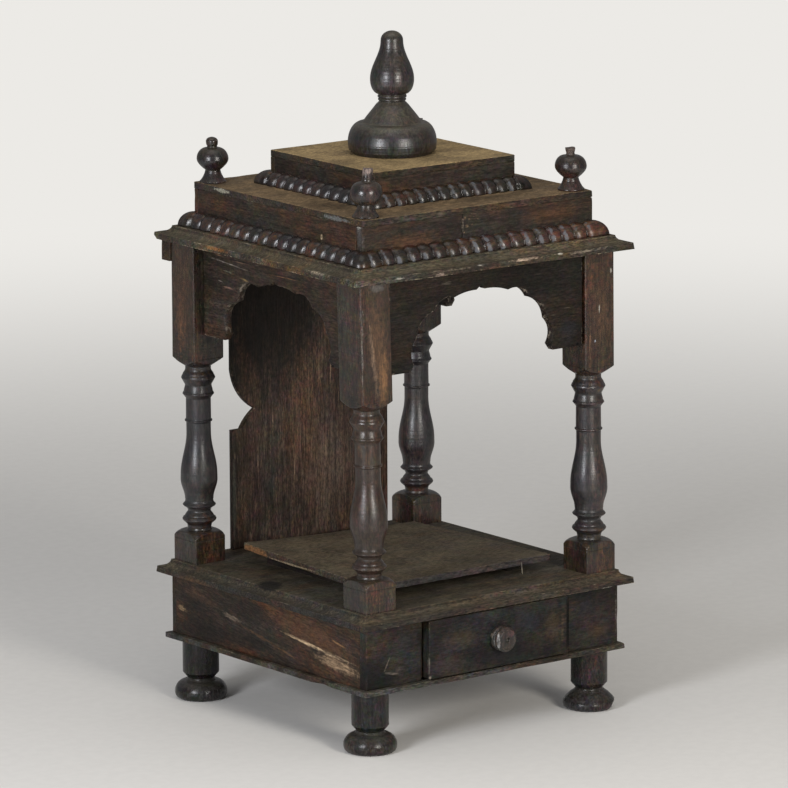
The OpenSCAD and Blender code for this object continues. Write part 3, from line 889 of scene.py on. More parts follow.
class Patch(Effect):
    """A single mark: a turned ellipse or block with a ragged rim."""

    title = "patch"
    takes = {
        "Position": ORIGIN, "Centre": ORIGIN, "Turn": ORIGIN, "Half": (0.01, 0.01, 0.01), "Square": 0.0,
        "Ragged": 0.5, "Soft": 0.3, "Speckle": 0.0, "Fleck": 0.5, "Streak": 0.5,
    }

    def wire(self, net: Wiring, given: Sequence[Any]) -> Sequence[Any]:
        """Wires the distance from the middle of the mark, roughened by noise and by the wood's own grain."""
        place, centre, turn, half, square, ragged, soft, speckle, fleck, streak = given
        local = net.turned(net.vectors("SUBTRACT", place, centre), turn, back=True)
        local = net.vectors("DIVIDE", local, half)
        spread = net.node("SeparateXYZ", None, Vector=net.vectors("ABSOLUTE", local)).outputs
        block = net.maths("MAXIMUM", net.maths("MAXIMUM", spread[0], spread[1]), spread[2])
        ball = net.vectors("LENGTH", local)
        reach = net.plus(net.times(block, square), net.times(ball, net.less(1.0, square)))
        rough = net.less(net.noise(place, 210.0, 4.0, 0.7), 0.5)
        rough = net.plus(rough, net.times(net.less(streak, 0.5), 0.16))
        reach = net.plus(reach, net.times(rough, net.times(ragged, 3.0)))
        mask = net.span(reach, net.less(1.0, soft), 1.0, 1.0, 0.0)
        specks = net.span(fleck, 0.36, 0.62)
        keep = net.plus(net.times(specks, speckle), net.less(1.0, speckle))
        return (net.times(mask, keep, clamp=True),)


class TurningLines(Effect):
    """Fine rings that the lathe tool leaves round a turned piece."""

    title = "turning_lines"
    takes = {"Position": ORIGIN, "Axis": (0.0, 0.0, 1.0), "Offset": 0.0}
    gives = ("Rings",)

    def wire(self, net: Wiring, given: Sequence[Any]) -> Sequence[Any]:
        """Wires noise that changes along the axis alone."""
        place, axis, offset = given
        height = net.vectors("DOT_PRODUCT", place, axis)
        place = net.node("CombineXYZ", None, X=offset, Y=0.0, Z=height).outputs[0]
        return (net.span(net.noise(place, 520.0, 3.0, 0.6), 0.35, 0.65),)


@dataclass(frozen=True)
class Mark:
    """One spot, chip, stain or scratch on a piece, in millimetres and degrees."""

    centre: Triple
    half: Triple
    colour: Triple
    strength: float = 0.8
    soft: float = 0.4
    speckle: float = 0.0
    ragged: float = 0.5
    square: float = 0.0
    matt: float = 0.25
    turn: Triple = ORIGIN

    def swung(self, degrees: float) -> "Mark":
        """The mark turned about the upright axis, for a piece that is turned too."""
        centre = about_z(degrees) @ np.array(self.centre)
        return replace(self, centre=tuple(centre), turn=(*self.turn[:2], self.turn[2] + degrees))


def on_face(face: Face, place: float, depth: float, *rows: Sequence[Any]) -> tuple[Mark, ...]:
    """Marks on an upright face.

    Args:
        face: the way that the face looks.
        place: place of the face along its own axis.
        depth: how far the marks reach into it.
        *rows: across, up, half width, half height, tilt, colour, and then as many
            of a mark's other values as it needs, from strength to matt.

    Returns:
        One mark for each row.
    """
    made = []
    for across, up, wide, high, tilt, colour, *more in rows:
        centre, half = (across, place, up), (wide, depth, high)
        if face is Face.SIDE:
            centre, half = (place, across, up), (depth, wide, high)
        turn = (tilt, 0, 0) if face is Face.SIDE else (0, tilt, 0)
        made.append(Mark(centre, half, colour, *more, turn=turn))
    return tuple(made)


@dataclass(frozen=True)
class WoodFinish:
    """A stained wood finish; colours are screen colours from 0 to 255."""

    name: str
    dark: Triple
    body: Triple
    warm: Triple
    film: Triple = (58, 60, 64)
    grain: Grain = Grain.ALONG_Z
    lean: Triple = (0.0, 0.0, 0.0)
    warm_share: float = 0.6
    film_share: float = 0.35
    contrast: float = 0.24
    clouding: float = 0.6
    bend: float = 0.6
    gritty: float = 1.0
    mottled: float = 0.8
    dust: Triple = (96, 88, 72)
    dust_up: float = 0.4
    dust_thin: float = 0.0
    dust_groove: float = 0.0
    wear: Triple = (112, 102, 90)
    wear_share: float = 0.3
    scratched: float = 0.2
    rough: float = 0.55
    gloss: float = 0.2
    relief: float = 0.35
    turned: bool = False
    axis: Triple = (0.0, 0.0, 1.0)
    offset: float = 0.0
    marks: tuple[Mark, ...] = ()

    def marked(
        self, colour: Any, rough: Any, net: Wiring, place: Any, grain: dict[str, Any], texture: Any
    ) -> tuple[Any, Any]:
        """Lays the single marks over the colour and the roughness.

        Args:
            colour: the colour so far.
            rough: the roughness so far.
            net: what places nodes in the material.
            place: the position socket.
            grain: the values of the wood's grain.
            texture: brightness of the fibres, which shows through the marks.

        Returns:
            The colour and the roughness with the marks.
        """
        fleck = net.plus(net.times(grain["Fibre"], 0.45), net.times(grain["Grit"], 0.55))
        softer = net.plus(net.times(texture, 0.55), 0.45)
        for mark in self.marks:
            mask = net.effect(
                "patch", Position=place, Centre=tuple(c * MM for c in mark.centre), Turn=radians(mark.turn),
                Half=tuple(h * MM for h in mark.half), Square=mark.square, Ragged=mark.ragged, Soft=mark.soft,
                Speckle=mark.speckle, Fleck=fleck, Streak=grain["Streak"],
            )
            mask = net.times(mask, mark.strength)
            colour = net.mixed(mask, colour, net.scaled(srgb(*mark.colour)[:3], softer))
            rough = net.plus(rough, net.times(mask, mark.matt), clamp=True)
        return colour, rough

    def material(self) -> bpy.types.Material:
        """The finish as a material.

        Returns:
            A new material with the finish's node tree.
        """
        made = bpy.data.materials.new(self.name)
        net = Wiring.emptied(made)
        place = net.node("TexCoord").outputs["Object"]
        normal = net.node("NewGeometry").outputs["Normal"]
        edge = net.node("Attribute", {"attribute_name": "edge"}).outputs["Fac"]
        hollow = net.node("Attribute", {"attribute_name": "hollow"}).outputs["Fac"]
        lean = radians(self.lean)
        grain = net.effect(
            "wood_grain", Position=place, Lean=lean, Stretch=self.grain.value, Offset=self.offset,
            Bend=self.bend,
        )
        band = net.times(grain["Band"], 1 - self.clouding)
        tone = net.plus(band, net.times(grain["Cloud"], self.clouding))
        colour = net.mixed(tone, srgb(*self.dark), srgb(*self.body))
        broken = net.span(grain["Streak"], 0.0, 1.0, 0.35 * self.warm_share, self.warm_share)
        colour = net.mixed(net.times(grain["Glow"], broken), colour, srgb(*self.warm))
        veil = net.span(grain["Band"], 0.0, 1.0, self.film_share, 0.5 * self.film_share)
        colour = net.mixed(net.times(grain["Film"], veil), colour, srgb(*self.film))
        fibre = net.span(grain["Fibre"], 0.0, 1.0, 1.0 - self.contrast, 1.0 + self.contrast)
        grit = net.span(grain["Grit"], 0.3, 0.7, 1.0 - 0.5 * self.gritty, 1.0 + 0.5 * self.gritty)
        texture = net.times(fibre, grit)
        colour = net.scaled(colour, texture)
        colour = net.effect("mottle", Position=place, Colour=colour, Amount=self.mottled)
        height = net.plus(grain["Fibre"], net.times(grain["Grit"], 0.5))
        rough = net.span(grain["Streak"], 0.0, 1.0, self.rough - 0.05, self.rough + 0.07)
        if self.turned:
            rings = net.effect("turning_lines", Position=place, Axis=self.axis, Offset=self.offset)
            height = net.plus(net.times(height, 0.2), rings)
            colour = net.scaled(colour, net.span(rings, 0.0, 1.0, 0.9, 1.1))
        # painted shade: the colour darkens in grooves and hollows
        colour = net.scaled(colour, net.span(hollow, 0.15, 1.0, 1.0, 0.42))
        if self.scratched:
            stretch = tuple(0.12 if s < 0.5 else 1.0 for s in self.grain.value)
            lines = net.effect("scratches", Position=place, Lean=lean, Stretch=stretch, Amount=self.scratched)
            colour = net.mixed(lines, colour, srgb(*self.wear))
        dust = net.effect(
            "settled_dust", Normal=normal, Position=place, Hollow=hollow, Upward=self.dust_up,
            Thin=self.dust_thin, In_Grooves=self.dust_groove,
        )
        settled = net.mixed(grain["Streak"], [c * 0.78 for c in srgb(*self.dust)], srgb(*self.dust))
        settled = net.scaled(settled, net.span(texture, 0.5, 1.5, 0.7, 1.3))
        colour = net.mixed(dust, colour, settled)
        rough = net.plus(rough, net.times(dust, 0.3), clamp=True)
        # edge wear, which on the rope is the painted highlight on its strands' steep flanks
        worn = net.effect("edge_wear", Edge=edge, Position=place, Offset=self.offset, Amount=self.wear_share)
        colour = net.mixed(net.times(worn, 0.75), colour, srgb(*self.wear))
        rough = net.plus(rough, net.times(worn, 0.3), clamp=True)
        colour, rough = self.marked(colour, rough, net, place, grain, texture)
        bump = net.node("Bump", None, Strength=self.relief, Distance=0.0006, Height=height)
        shader = net.node("BsdfPrincipled", None, Base_Color=colour, Roughness=rough, Normal=bump.outputs[0])
        shader.inputs["Specular IOR Level"].default_value = self.gloss
        net.end(shader)
        return made


class Workshop:
    """Turns shapes into pieces that ride on a body and stand for CAD nodes."""

    def __init__(self) -> None:
        """Builds the effects that the finishes share."""
        kinds = (WoodGrain, Mottle, EdgeWear, SettledDust, Scratches, Patch, TurningLines)
        self.effects: dict[str, Effect] = {kind.title: kind() for kind in kinds}
        self.materials: dict[str, bpy.types.Material] = {}

    def material(self, finish: WoodFinish) -> bpy.types.Material:
        """The finish's material, made at its first use."""
        if finish.name not in self.materials:
            self.materials[finish.name] = finish.material()
        return self.materials[finish.name]

    def piece(
        self, node: str, craft: str, shape: Shape, finish: WoodFinish, body: Body = Body.TEMPLE
    ) -> None:
        """Makes the piece that stands for a CAD node.

        Args:
            node: the CAD node.
            craft: how the piece is made, which ends its name.
            shape: its shape in millimetres.
            finish: its finish.
            body: the body that it rides on.
        """
        name = f"{node}_{craft}"
        mesh = bpy.data.meshes.new(name)
        mesh.from_pydata([tuple(p) for p in shape.points * MM], [], shape.faces)
        mesh.validate()
        for key, values in (("edge", shape.edge), ("hollow", shape.hollow)):
            layer = mesh.attributes.new(key, "FLOAT", "POINT")
            layer.data.foreach_set("value", np.asarray(values, np.float32))
        mesh.polygons.foreach_set("use_smooth", [True] * len(mesh.polygons))
        mesh.materials.append(self.material(finish))
        made = stood(name, mesh)
        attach(made, body.value)
        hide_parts(node)
        log.info("%s: %d faces", name, len(shape.faces))

    def dress(self, node: str, finish: WoodFinish) -> None:
        """Gives a CAD node that stays its finish."""
        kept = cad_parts[node]
        kept.data.materials.clear()
        kept.data.materials.append(self.material(finish))
        log.info("%s: dressed", node)


SHOP = Workshop()


def stood(name: str, data: Any) -> bpy.types.Object:
    """A new object of the scene."""
    made = bpy.data.objects.new(name, data)
    bpy.context.scene.collection.objects.link(made)
    return made


def box_of(node: str) -> tuple[np.ndarray, np.ndarray]:
    """Lowest and highest corner of a CAD node, in millimetres."""
    low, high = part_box(node)
    return np.array(low) / MM, np.array(high) / MM


# ---- profiles ----


def ogee(a: Pair, b: Pair, n: int = 10) -> list[Pair]:
    """S-shaped run between two points of a profile."""
    shares = [i / n for i in range(n + 1)]
    return [
        (a[0] + (b[0] - a[0]) * (1 - math.cos(math.pi * t)) / 2, a[1] + (b[1] - a[1]) * t)
        for t in shares
    ]


def round_out(a: Pair, b: Pair, n: int = 8) -> list[Pair]:
    """Quarter round that leaves a along the radius and meets b along the height."""
    turns = [math.pi / 2 * i / n for i in range(n + 1)]
    return [(a[0] + (b[0] - a[0]) * math.sin(t), a[1] + (b[1] - a[1]) * (1 - math.cos(t))) for t in turns]


def round_in(a: Pair, b: Pair, n: int = 8) -> list[Pair]:
    """Quarter round that leaves a along the height and meets b along the radius."""
    return [(x, y) for y, x in round_out(a[::-1], b[::-1], n)]


def bow(a: Pair, b: Pair, sag: float, n: int = 9) -> list[Pair]:
    """Shallow bow between two points, standing out to the left of the way from a to b."""
    dx, dy = b[0] - a[0], b[1] - a[1]
    steps = [(i / n, 4 * sag * i / n * (1 - i / n)) for i in range(n)]
    return [(a[0] + dx * t - dy * out, a[1] + dy * t + dx * out) for t, out in steps]


# ---- the finishes of this temple ----

BEIGE, PALE, GREY = (182, 156, 124), (204, 198, 186), (104, 106, 104)

# the marks that years of use left, each at its own place; a few are painted shade, painted shadows or painted
# highlights, as noted at each
SIDE_MARKS = on_face(
    Face.SIDE, -150, 4,
    (80, 74, 70, 13, 0, (26, 23, 21), 0.55, 0.9, 0, 0.6),
    (-70, 100, 84, 15, 6, (94, 66, 46), 0.42, 0.95, 0, 0.8),
    (110, 106, 40, 9, 6, (84, 62, 48), 0.35, 0.9, 0, 0.8),
    (-109, 79.5, 38, 7.6, 5, (150, 126, 100), 0.8, 0.6, 0.5, 0.45),
    (-92, 88, 54, 2.2, 5.4, (170, 148, 120), 0.65, 0.6, 0.7, 0.35),
    (-52, 92.5, 40, 1.6, 5.4, BEIGE, 0.7, 0.4, 0.7, 0.3),
    (56, 94.5, 16, 3.2, 9, (118, 104, 90), 0.65, 0.6, 0.4),
    (134, 88, 9, 4, 0, (156, 130, 98), 0.55, 0.8, 1, 1),
    (-108, 100, 13, 1.2, 12, (140, 106, 74), 0.6, 0.5),
    (-30, 76, 34, 1.4, 12, (104, 76, 52), 0.5, 0.9, 0.4),
    (10, 84, 50, 2.2, 10, (98, 72, 50), 0.5, 0.9, 0.4),
)
STILE_MARKS = on_face(
    Face.FRONT, -150, 4,
    (-125.6, 85.2, 1, 9, 27.9, (138, 126, 114), 0.5, 0.8, 0.6, 0.3),
    (-120, 75.4, 10, 1.5, 11.4, (140, 128, 118), 0.5, 0.8, 0.6, 0.3),
    (-112, 78, 5, 3.5, 0, (112, 102, 92), 0.25, 0.9, 0.4),
    (-104, 104, 16, 14, 0, (42, 42, 48), 0.5, 1, 0, 0.4),
)
FRONT_MARKS = (
    *on_face(
        Face.FRONT, -158, 4,
        (-82.5, 78, 1, 14, 0, (116, 110, 100), 0.5, 0.9, 0.5, 0.8),
        (-81.5, 66.5, 1.8, 2.6, 0, (140, 130, 116), 0.6, 0.8),
    ),
    # painted shadow: a dark line on the drawer front's right edge, at its seam with the stile
    Mark((81.8, -158, 92), (1.3, 5, 29), (12, 11, 10), 0.7, 0.4, 0, 0.1, 1),
    *on_face(
        Face.FRONT, -158, 4,
        (-46, 98, 34, 15, 10, (74, 58, 44), 0.42, 1, 0, 0.6),
        (-56, 76, 30, 10, 0, (66, 56, 54), 0.4, 1, 0, 0.6),
        (66, 94, 16, 22, 12, (82, 66, 48), 0.42, 1, 0, 0.6),
        (34, 104, 24, 14, 0, (44, 48, 56), 0.45, 1, 0, 0.6),
        (10, 76, 40, 9, 0, (32, 31, 33), 0.45, 1, 0, 0.6),
        (76, 90, 2.2, 20, 0, (96, 80, 62), 0.4, 0.9, 0.7),
    ),
)
RIGHT_STILE_MARKS = on_face(
    Face.FRONT, -150, 4,
    (119, 92, 29, 32, 0, (32, 30, 32), 0.3, 0.3, 0, 0.5, 1),
    # painted shadow: a dark line on the stile beside the drawer's right edge
    (89.4, 92, 1.5, 30, 0, (9, 8, 8), 0.9, 0.5, 0, 0.1, 1),
    (110, 102, 16, 14, 0, (42, 42, 50), 0.5, 1, 0, 0.4),
    (126, 78, 20, 12, 0, (76, 58, 42), 0.5, 1, 0, 0.4),
    (148, 92, 1.4, 24, 0, (122, 118, 112), 0.5, 0.8, 0.8),
)
KNOB_MARKS = (
    *on_face(
        Face.FRONT, -171.5, 3,
        # painted shade: a dark spot over the knob's central hollow
        (0, 92.5, 4.4, 4.4, 0, (14, 17, 14), 0.85, 0.8, 0.2),
        (4.5, 98.5, 5, 4, 0, (104, 66, 62), 0.4, 0.8, 0.5, 0.8),
    ),
    # painted highlight: a pale strip down the knob's left rim
    Mark((-9.6, -169, 92.5), (2.6, 2.6, 9), (150, 150, 148), 0.55, 0.7, 0.7, 0.6),
    Mark((6, -171.5, 86), (5, 3, 4), (34, 29, 26), 0.5, 0.9),
    Mark((-8, -164, 88), (5, 5, 8), (136, 132, 128), 0.45, 0.8, 1, 0.8),
)
# marks on the back panel; the first of them is painted shade
PANEL_SHADE_AND_MARKS = (
    *on_face(
        Face.FRONT, 143.5, 5,
        # painted shade: the dark, soft-edged area over the upper panel stands for the shadow under the roof
        (-36, 378, 84, 122, 0, (11, 9, 6), 0.84, 0.55, 0, 0.25, 0, 0.1),
        (32, 196, 62, 84, 0, (104, 86, 74), 0.3, 1, 0.4),
    ),
    Mark((-80.5, 143.5, 185), (3, 4, 48), (58, 62, 56), 0.55, 0.5, 0, 0.3),
    *on_face(
        Face.FRONT, 143.5, 3,
        *((x, z, 0.6, reach, tilt, (150, 128, 104), 0.4, 0.7, 0.7, 0.2) for x, z, reach, tilt in (
            (-6, 262, 20, 1), (4, 226, 22, -2), (-22, 256, 16, 2), (22, 300, 20, -1), (36, 300, 26, 1),
            (10, 270, 20, 0), (-34, 250, 24, 2), (46, 262, 18, -2), (-52, 210, 26, 0), (-8, 206, 22, 1),
            (30, 214, 28, -1),
        )),
    ),
    Mark((24, 143.5, 290), (5, 3, 3), (138, 120, 98), 0.5, 0.8, 0.9, 0.9),
)
BOTTOM_MARKS = (
    Mark((-155, -87, 60.4), (9, 2.6, 1.8), (10, 10, 10), 0.9, 0.6, 0, 0.3),
    Mark((-154, -102, 63), (9, 8, 1.2), (18, 19, 22), 0.8, 0.6, 0, 0.3),
)
BASE_MARKS = (
    Mark((-145.5, 2, 134), (14.5, 23, 4), (14, 13, 12), 0.8, 0.45, 0, 0.2, turn=(0, 0, -38)),
    # painted shade: the left and front moulded edges of the base board are darkened
    Mark((-160, 0, 127), (9, 156, 7), (34, 34, 31), 0.58, 0.3, 0.2, 0.5, 1),
    Mark((0, -160, 127), (156, 9, 7), (50, 48, 44), 0.4, 0.3, 0.2, 0.5, 1),
    *on_face(
        Face.FRONT, -162, 4,
        (127, 121, 8, 1.6, 0, PALE, 0.8, 0.5, 0.6),
        (-10, 121, 10, 2.4, 0, (132, 98, 86), 0.6, 0.7),
    ),
    Mark((-159, 100, 122), (6, 40, 6), (96, 70, 50), 0.5, 0.9),
    Mark((112, 20, 134), (12, 60, 4), (104, 70, 38), 0.6, 0.9),
)
CORNICE_MARKS = (
    *on_face(
        Face.FRONT, -161.5, 4,
        (0, 445.5, 162, 4.2, 0, (34, 30, 25), 0.5, 0.4, 0.2, 0.5, 1),
        (35, 446.5, 22, 1.9, 0, (182, 160, 140), 0.8, 0.5, 0.5, 0.6),
        (73, 447, 6, 1.3, 0, PALE, 0.55, 0.7, 0.8, 0.8),
        (-20, 447, 7, 1.3, 0, PALE, 0.5, 0.7, 0.8, 0.8),
        (-66, 443, 9, 1.5, 0, (160, 142, 128), 0.55, 0.7, 0.8, 0.8),
        (-111, 445, 6, 1.4, 0, PALE, 0.5, 0.7, 0.8, 0.8),
        (100, 446, 24, 1.6, 0, (140, 128, 112), 0.5, 0.8, 0.8, 0.9),
        (-50, 446, 50, 1.4, 0, (124, 114, 98), 0.4, 0.8, 0.9, 0.9),
    ),
    *on_face(
        Face.FRONT, -157, 5,
        (-20, 452, 70, 3.5, 0, (112, 82, 52), 0.45, 0.9, 0, 0.8),
        (90, 453, 40, 3.5, 0, (120, 90, 58), 0.5, 0.9, 0, 0.8),
    ),
    *on_face(
        Face.SIDE, -161.5, 4,
        (-38, 450, 26, 3, -2, (186, 160, 118), 0.7, 0.6, 0.6, 0.7),
        (62, 446, 20, 2.5, 0, (150, 98, 52), 0.6, 0.7, 0.2, 0.7),
        (-100, 447, 22, 2.5, 0, (156, 142, 120), 0.55, 0.7, 0.6, 0.8),
        (-148, 449, 8, 2.6, 0, (164, 158, 146), 0.6, 0.6, 0.7),
        (105, 449, 6, 2, 0, (176, 168, 150), 0.6, 0.6, 0.5),
    ),
)
FEET_MARKS = (Mark((0, 0, 7), (165, 165, 13), (66, 64, 62), 0.42, 0.25, 0.35, square=1.0, matt=0.0),)
JOINT_MARKS = (
    Mark((0, -81.5, 509), (82, 3, 13), (36, 28, 24), 0.35, 0.25, 0, 0.5, 1),
    *on_face(
        Face.FRONT, -133, 3,
        *((x, z, r, 0.8 * r, 0, (150, 124, 98), 0.5, 0.9, 0.8, 0.9) for x, z, r in (
            (-16, 487, 2.2), (-11, 484, 2.6), (-6, 487, 1.8), (-14, 479, 2.2), (-8, 480, 1.8),
            (-1, 484, 1.6), (-17, 473, 1.4),
        )),
        (-19, 480, 1.4, 8, 0, (150, 138, 122), 0.5, 0.6, 0.6),
    ),
    Mark((-133.3, -128.5, 486), (3, 5, 18), (92, 92, 92), 0.5, 0.7, 0.3, 0.5, 0.9),
    Mark((-133.3, -128, 491), (3, 4.4, 4), (176, 174, 166), 0.7, 0.6, 0.7),
    *on_face(
        Face.FRONT, -133, 4,
        (-80, 470, 52, 14, 0, (98, 64, 38), 0.5, 1, 0.3, 0.4),
        (80, 480, 50, 12, 0, (94, 62, 38), 0.45, 1, 0.3, 0.4),
    ),
    Mark((-133, -70, 472), (3, 2, 3.5), (170, 150, 122), 0.7, 0.6, 0.4),
)
LID_MARKS = (
    *on_face(
        Face.SIDE, -133, 3,
        (88, 494, 13, 2.4, 0, (156, 152, 136), 0.8, 0.4, 0.3),
        (-92, 493, 23, 2.4, 0, GREY, 0.75, 0.5, 0.2),
    ),
    Mark((-106, -60, 496.5), (20, 60, 3), (52, 44, 34), 0.5, 0.9, 0, 0.8),
    Mark((30, -106, 496.5), (80, 14, 3), (60, 50, 38), 0.5, 0.9, 0, 0.8),
)

FLOOR_MARKS = (
    *on_face(
        Face.SIDE, -111, 3,
        (70, 150, 26, 5, 3, (128, 88, 54), 0.8, 0.5, 0.3),
        (20, 147, 50, 1.2, 0, (150, 134, 108), 0.6, 0.6),
    ),
    Mark((66, -111.2, 140), (2.4, 1, 9), (138, 130, 114), 0.7, 0.2, 0, 0.1, 1),
    Mark((0, -110, 145), (116, 1.6, 5), (54, 55, 60), 0.55, 0.2, 0.3, 0.5, 1),
)
ARCH_LEFT_MARKS = (
    *on_face(
        Face.SIDE, -136.5, 3,
        (-84.5, 355, 2, 2, 0, (8, 7, 6), 1),
        (20, 437, 95, 4.5, 0, (76, 46, 28), 0.5, 0.8, 0, 0.4),
    ),
    *on_face(
        Face.SIDE, -136.5, 3,
        *((*streak, 0.45, 0.8, 0.6, 0.3) for streak in (
            (68.6, 427.4, 45, 0.7, 4.8, (148, 136, 126)), (84, 428.4, 30, 0.6, 3, (140, 132, 126)),
            (56, 431.4, 17, 0.6, 0, (140, 112, 92)), (90, 434, 10, 0.7, 4, (150, 112, 84)),
            (74.5, 420, 9, 0.9, 4.7, (136, 140, 118)), (49, 416.2, 8, 1.3, 9, (150, 126, 84)),
            (86.7, 409.5, 6, 0.8, 9, (150, 138, 130)), (74.7, 404.7, 11, 1.5, 0, (146, 112, 96)),
            (-14, 427, 26, 0.7, 0, (130, 96, 66)),
        )),
    ),
)
ARCH_FRONT_MARKS = on_face(
    Face.FRONT, -148, 3,
    (101.9, 356, 1.6, 1.6, 0, (5, 5, 5), 1, 0.4, 0, 0.2),
    (96, 354, 4, 3, 0, (24, 17, 13), 0.8, 0.7),
    (90, 370, 16, 14, 0, (40, 42, 48), 0.4, 0.9),
)
COLUMN_MARKS = {
    "front_left": (
        Mark((-131, -148.5, 390), (18, 4, 54), (44, 27, 14), 0.5, 0.2, 0, 0.5, 1),
        *on_face(
            Face.FRONT, -148.5, 5,
            (-134, 384, 13, 58, -6, (108, 76, 48), 0.45, 0.9, 0.2),
            (-127, 352, 8, 34, 0, (136, 98, 60), 0.5, 1, 0.1, 0.3),
            (-139, 372, 3.5, 44, -8, (130, 108, 88), 0.4, 0.9, 0.3),
            (-130, 424, 8, 8, 0, (58, 34, 26), 0.7, 0.8),
            (-134, 437, 12, 5, 0, (98, 96, 94), 0.5, 0.8, 0, 0.6),
        ),
        Mark((-151, -148.5, 385), (1.4, 4, 44), (150, 146, 140), 0.35, 0.8, 1, 0.8),
        Mark((-148.5, -125, 390), (4, 8, 40), (96, 78, 66), 0.35, 0.9, 0, 0.7),
    ),
    "front_right": (
        Mark((131, -148.5, 390), (18, 4, 54), (44, 28, 15), 0.4, 0.2, 0, 0.5, 1),
        *on_face(
            Face.FRONT, -148.5, 5,
            (117, 348, 1.8, 26, 0, (124, 92, 66), 0.6, 0.8, 0.5),
            (109, 400, 2.2, 22, 0, (112, 64, 34), 0.6, 0.8, 0.3),
            (130, 378, 14, 52, 0, (78, 54, 34), 0.5, 0.9, 0.2, 0.7),
            (142, 421, 1.2, 3, 0, PALE, 0.5, 0.6, 0, 0.6),
            (128, 386, 0.8, 5, 0, PALE, 0.7, 0.5, 0, 0.2),
            (123, 356, 1.2, 1.6, 0, (150, 158, 170), 0.7, 0.5),
        ),
    ),
    "back_left": (
        Mark((-148.5, 131, 390), (4, 18, 54), (46, 34, 22), 0.4, 0.2, 0, 0.5, 1),
        Mark((-148.5, 131, 385), (5, 20, 66), (62, 40, 24), 0.55, 0.9, 0.2, 0.7),
        Mark((-148.5, 134, 366), (4, 9, 40), (112, 74, 48), 0.4, 0.9, 0.3, 0.7),
        Mark((-131, 113.5, 349), (6, 4, 5), (18, 16, 14), 0.8, 0.6, 0, 0.3),
    ),
}

STAINED = WoodFinish("stained_board", (22, 18, 15), (50, 39, 31), (98, 62, 38), film=(54, 55, 52))
CLOUDED = replace(
    STAINED, name="clouded_front", dark=(22, 21, 20), body=(42, 38, 34), warm=(76, 56, 40),
    film=(50, 53, 56), clouding=1.0, contrast=0.06, gritty=0.9, mottled=1.3, film_share=0.6, gloss=0.15,
)
TURNED = WoodFinish(
    "turned_dark", (16, 13, 12), (31, 26, 23), (62, 44, 35), film=(44, 45, 49), contrast=0.2, gritty=1.5,
    mottled=1.3, clouding=0.7, dust_up=0.1, dust_thin=0.02, dust_groove=0.1, wear=(96, 82, 70),
    scratched=0.08, rough=0.28, gloss=0.55, relief=0.12, turned=True,
)
BLOCKED = replace(
    TURNED, name="column_wood", dark=(22, 19, 17), body=(46, 36, 29), warm=(88, 58, 36), film=(56, 49, 39),
    warm_share=0.65, film_share=0.5, contrast=0.34, gritty=1.4, mottled=1.5, rough=0.3, gloss=0.5,
    wear_share=0.26,
)
SAWN = WoodFinish(
    "sawn_arch", (22, 19, 16), (50, 41, 34), (88, 62, 42), film=(56, 56, 54), warm_share=0.5,
    wear_share=0.55, wear=(122, 112, 100), scratched=0.3,
)
PANEL = WoodFinish(
    "back_panel_wood", (22, 17, 14), (67, 52, 43), (96, 67, 48), film=(62, 62, 60), warm_share=0.5,
    contrast=0.42, gritty=1.35, bend=0.7, clouding=0.3, scratched=0.5, wear=(126, 112, 94),
    marks=PANEL_SHADE_AND_MARKS,
)
DULL_TOP = WoodFinish(
    "dull_top", (22, 19, 16), (48, 42, 35), (84, 60, 40), film=(62, 64, 64), grain=Grain.ALONG_X,
    dust=(106, 97, 78), gritty=1.7, mottled=1.1, dust_up=0.45, dust_thin=0.02, wear=(126, 116, 98),
    wear_share=0.36, rough=0.6, gloss=0.22, warm_share=0.7,
)
# the lids' dust is paler than elsewhere: dust, with painted light on their tops as well
LID = replace(DULL_TOP, name="roof_lid", dust=(184, 158, 114), dust_up=1.1)
LOWER_LID = replace(LID, name="lower_lid", dust=(150, 126, 94), dust_up=0.95)
RED_BOARD = replace(STAINED, name="tier_board", dark=(24, 20, 17), body=(50, 41, 34), warm=(88, 58, 38))
ROPE_MARKS = (Mark((-110, 0, 485), (34, 131, 40), (27, 28, 31), 0.55, 0.15, square=1.0, matt=0.0),)
# on the rope, the wear colour paints the pale highlight on the strands' steep flanks
ROPE = WoodFinish(
    "rope_carving", (20, 16, 13), (44, 35, 29), (100, 64, 38), film=(44, 48, 52), grain=Grain.ALONG_X,
    warm_share=0.8, contrast=0.15, dust_up=0.0, mottled=1.3, wear=(86, 89, 95), wear_share=0.8,
    scratched=0.0, rough=0.3, gloss=0.52, relief=0.0, marks=ROPE_MARKS,
)
RAW = WoodFinish(
    "raw_inside", (92, 68, 48), (128, 98, 70), (150, 112, 76), film=(120, 104, 84), grain=Grain.ALONG_Y,
    dust_thin=0.25, rough=0.7, wear=(160, 130, 98),
)
DIM = replace(
    RAW, name="dark_batten", dark=(16, 13, 11), body=(34, 27, 22), warm=(52, 38, 28), film=(36, 34, 32),
    dust_thin=0.0,
)


# ---- sub-assemblies -------------------------------------------------------------------

CORNERS = ("front_left", "front_right", "back_left", "back_right")


def column_axis(corner: str) -> tuple[float, float]:
    """Place of a column's axis, which its foot shares."""
    low, high = box_of(f"column_{corner}")
    return tuple((low + high)[:2] / 2)


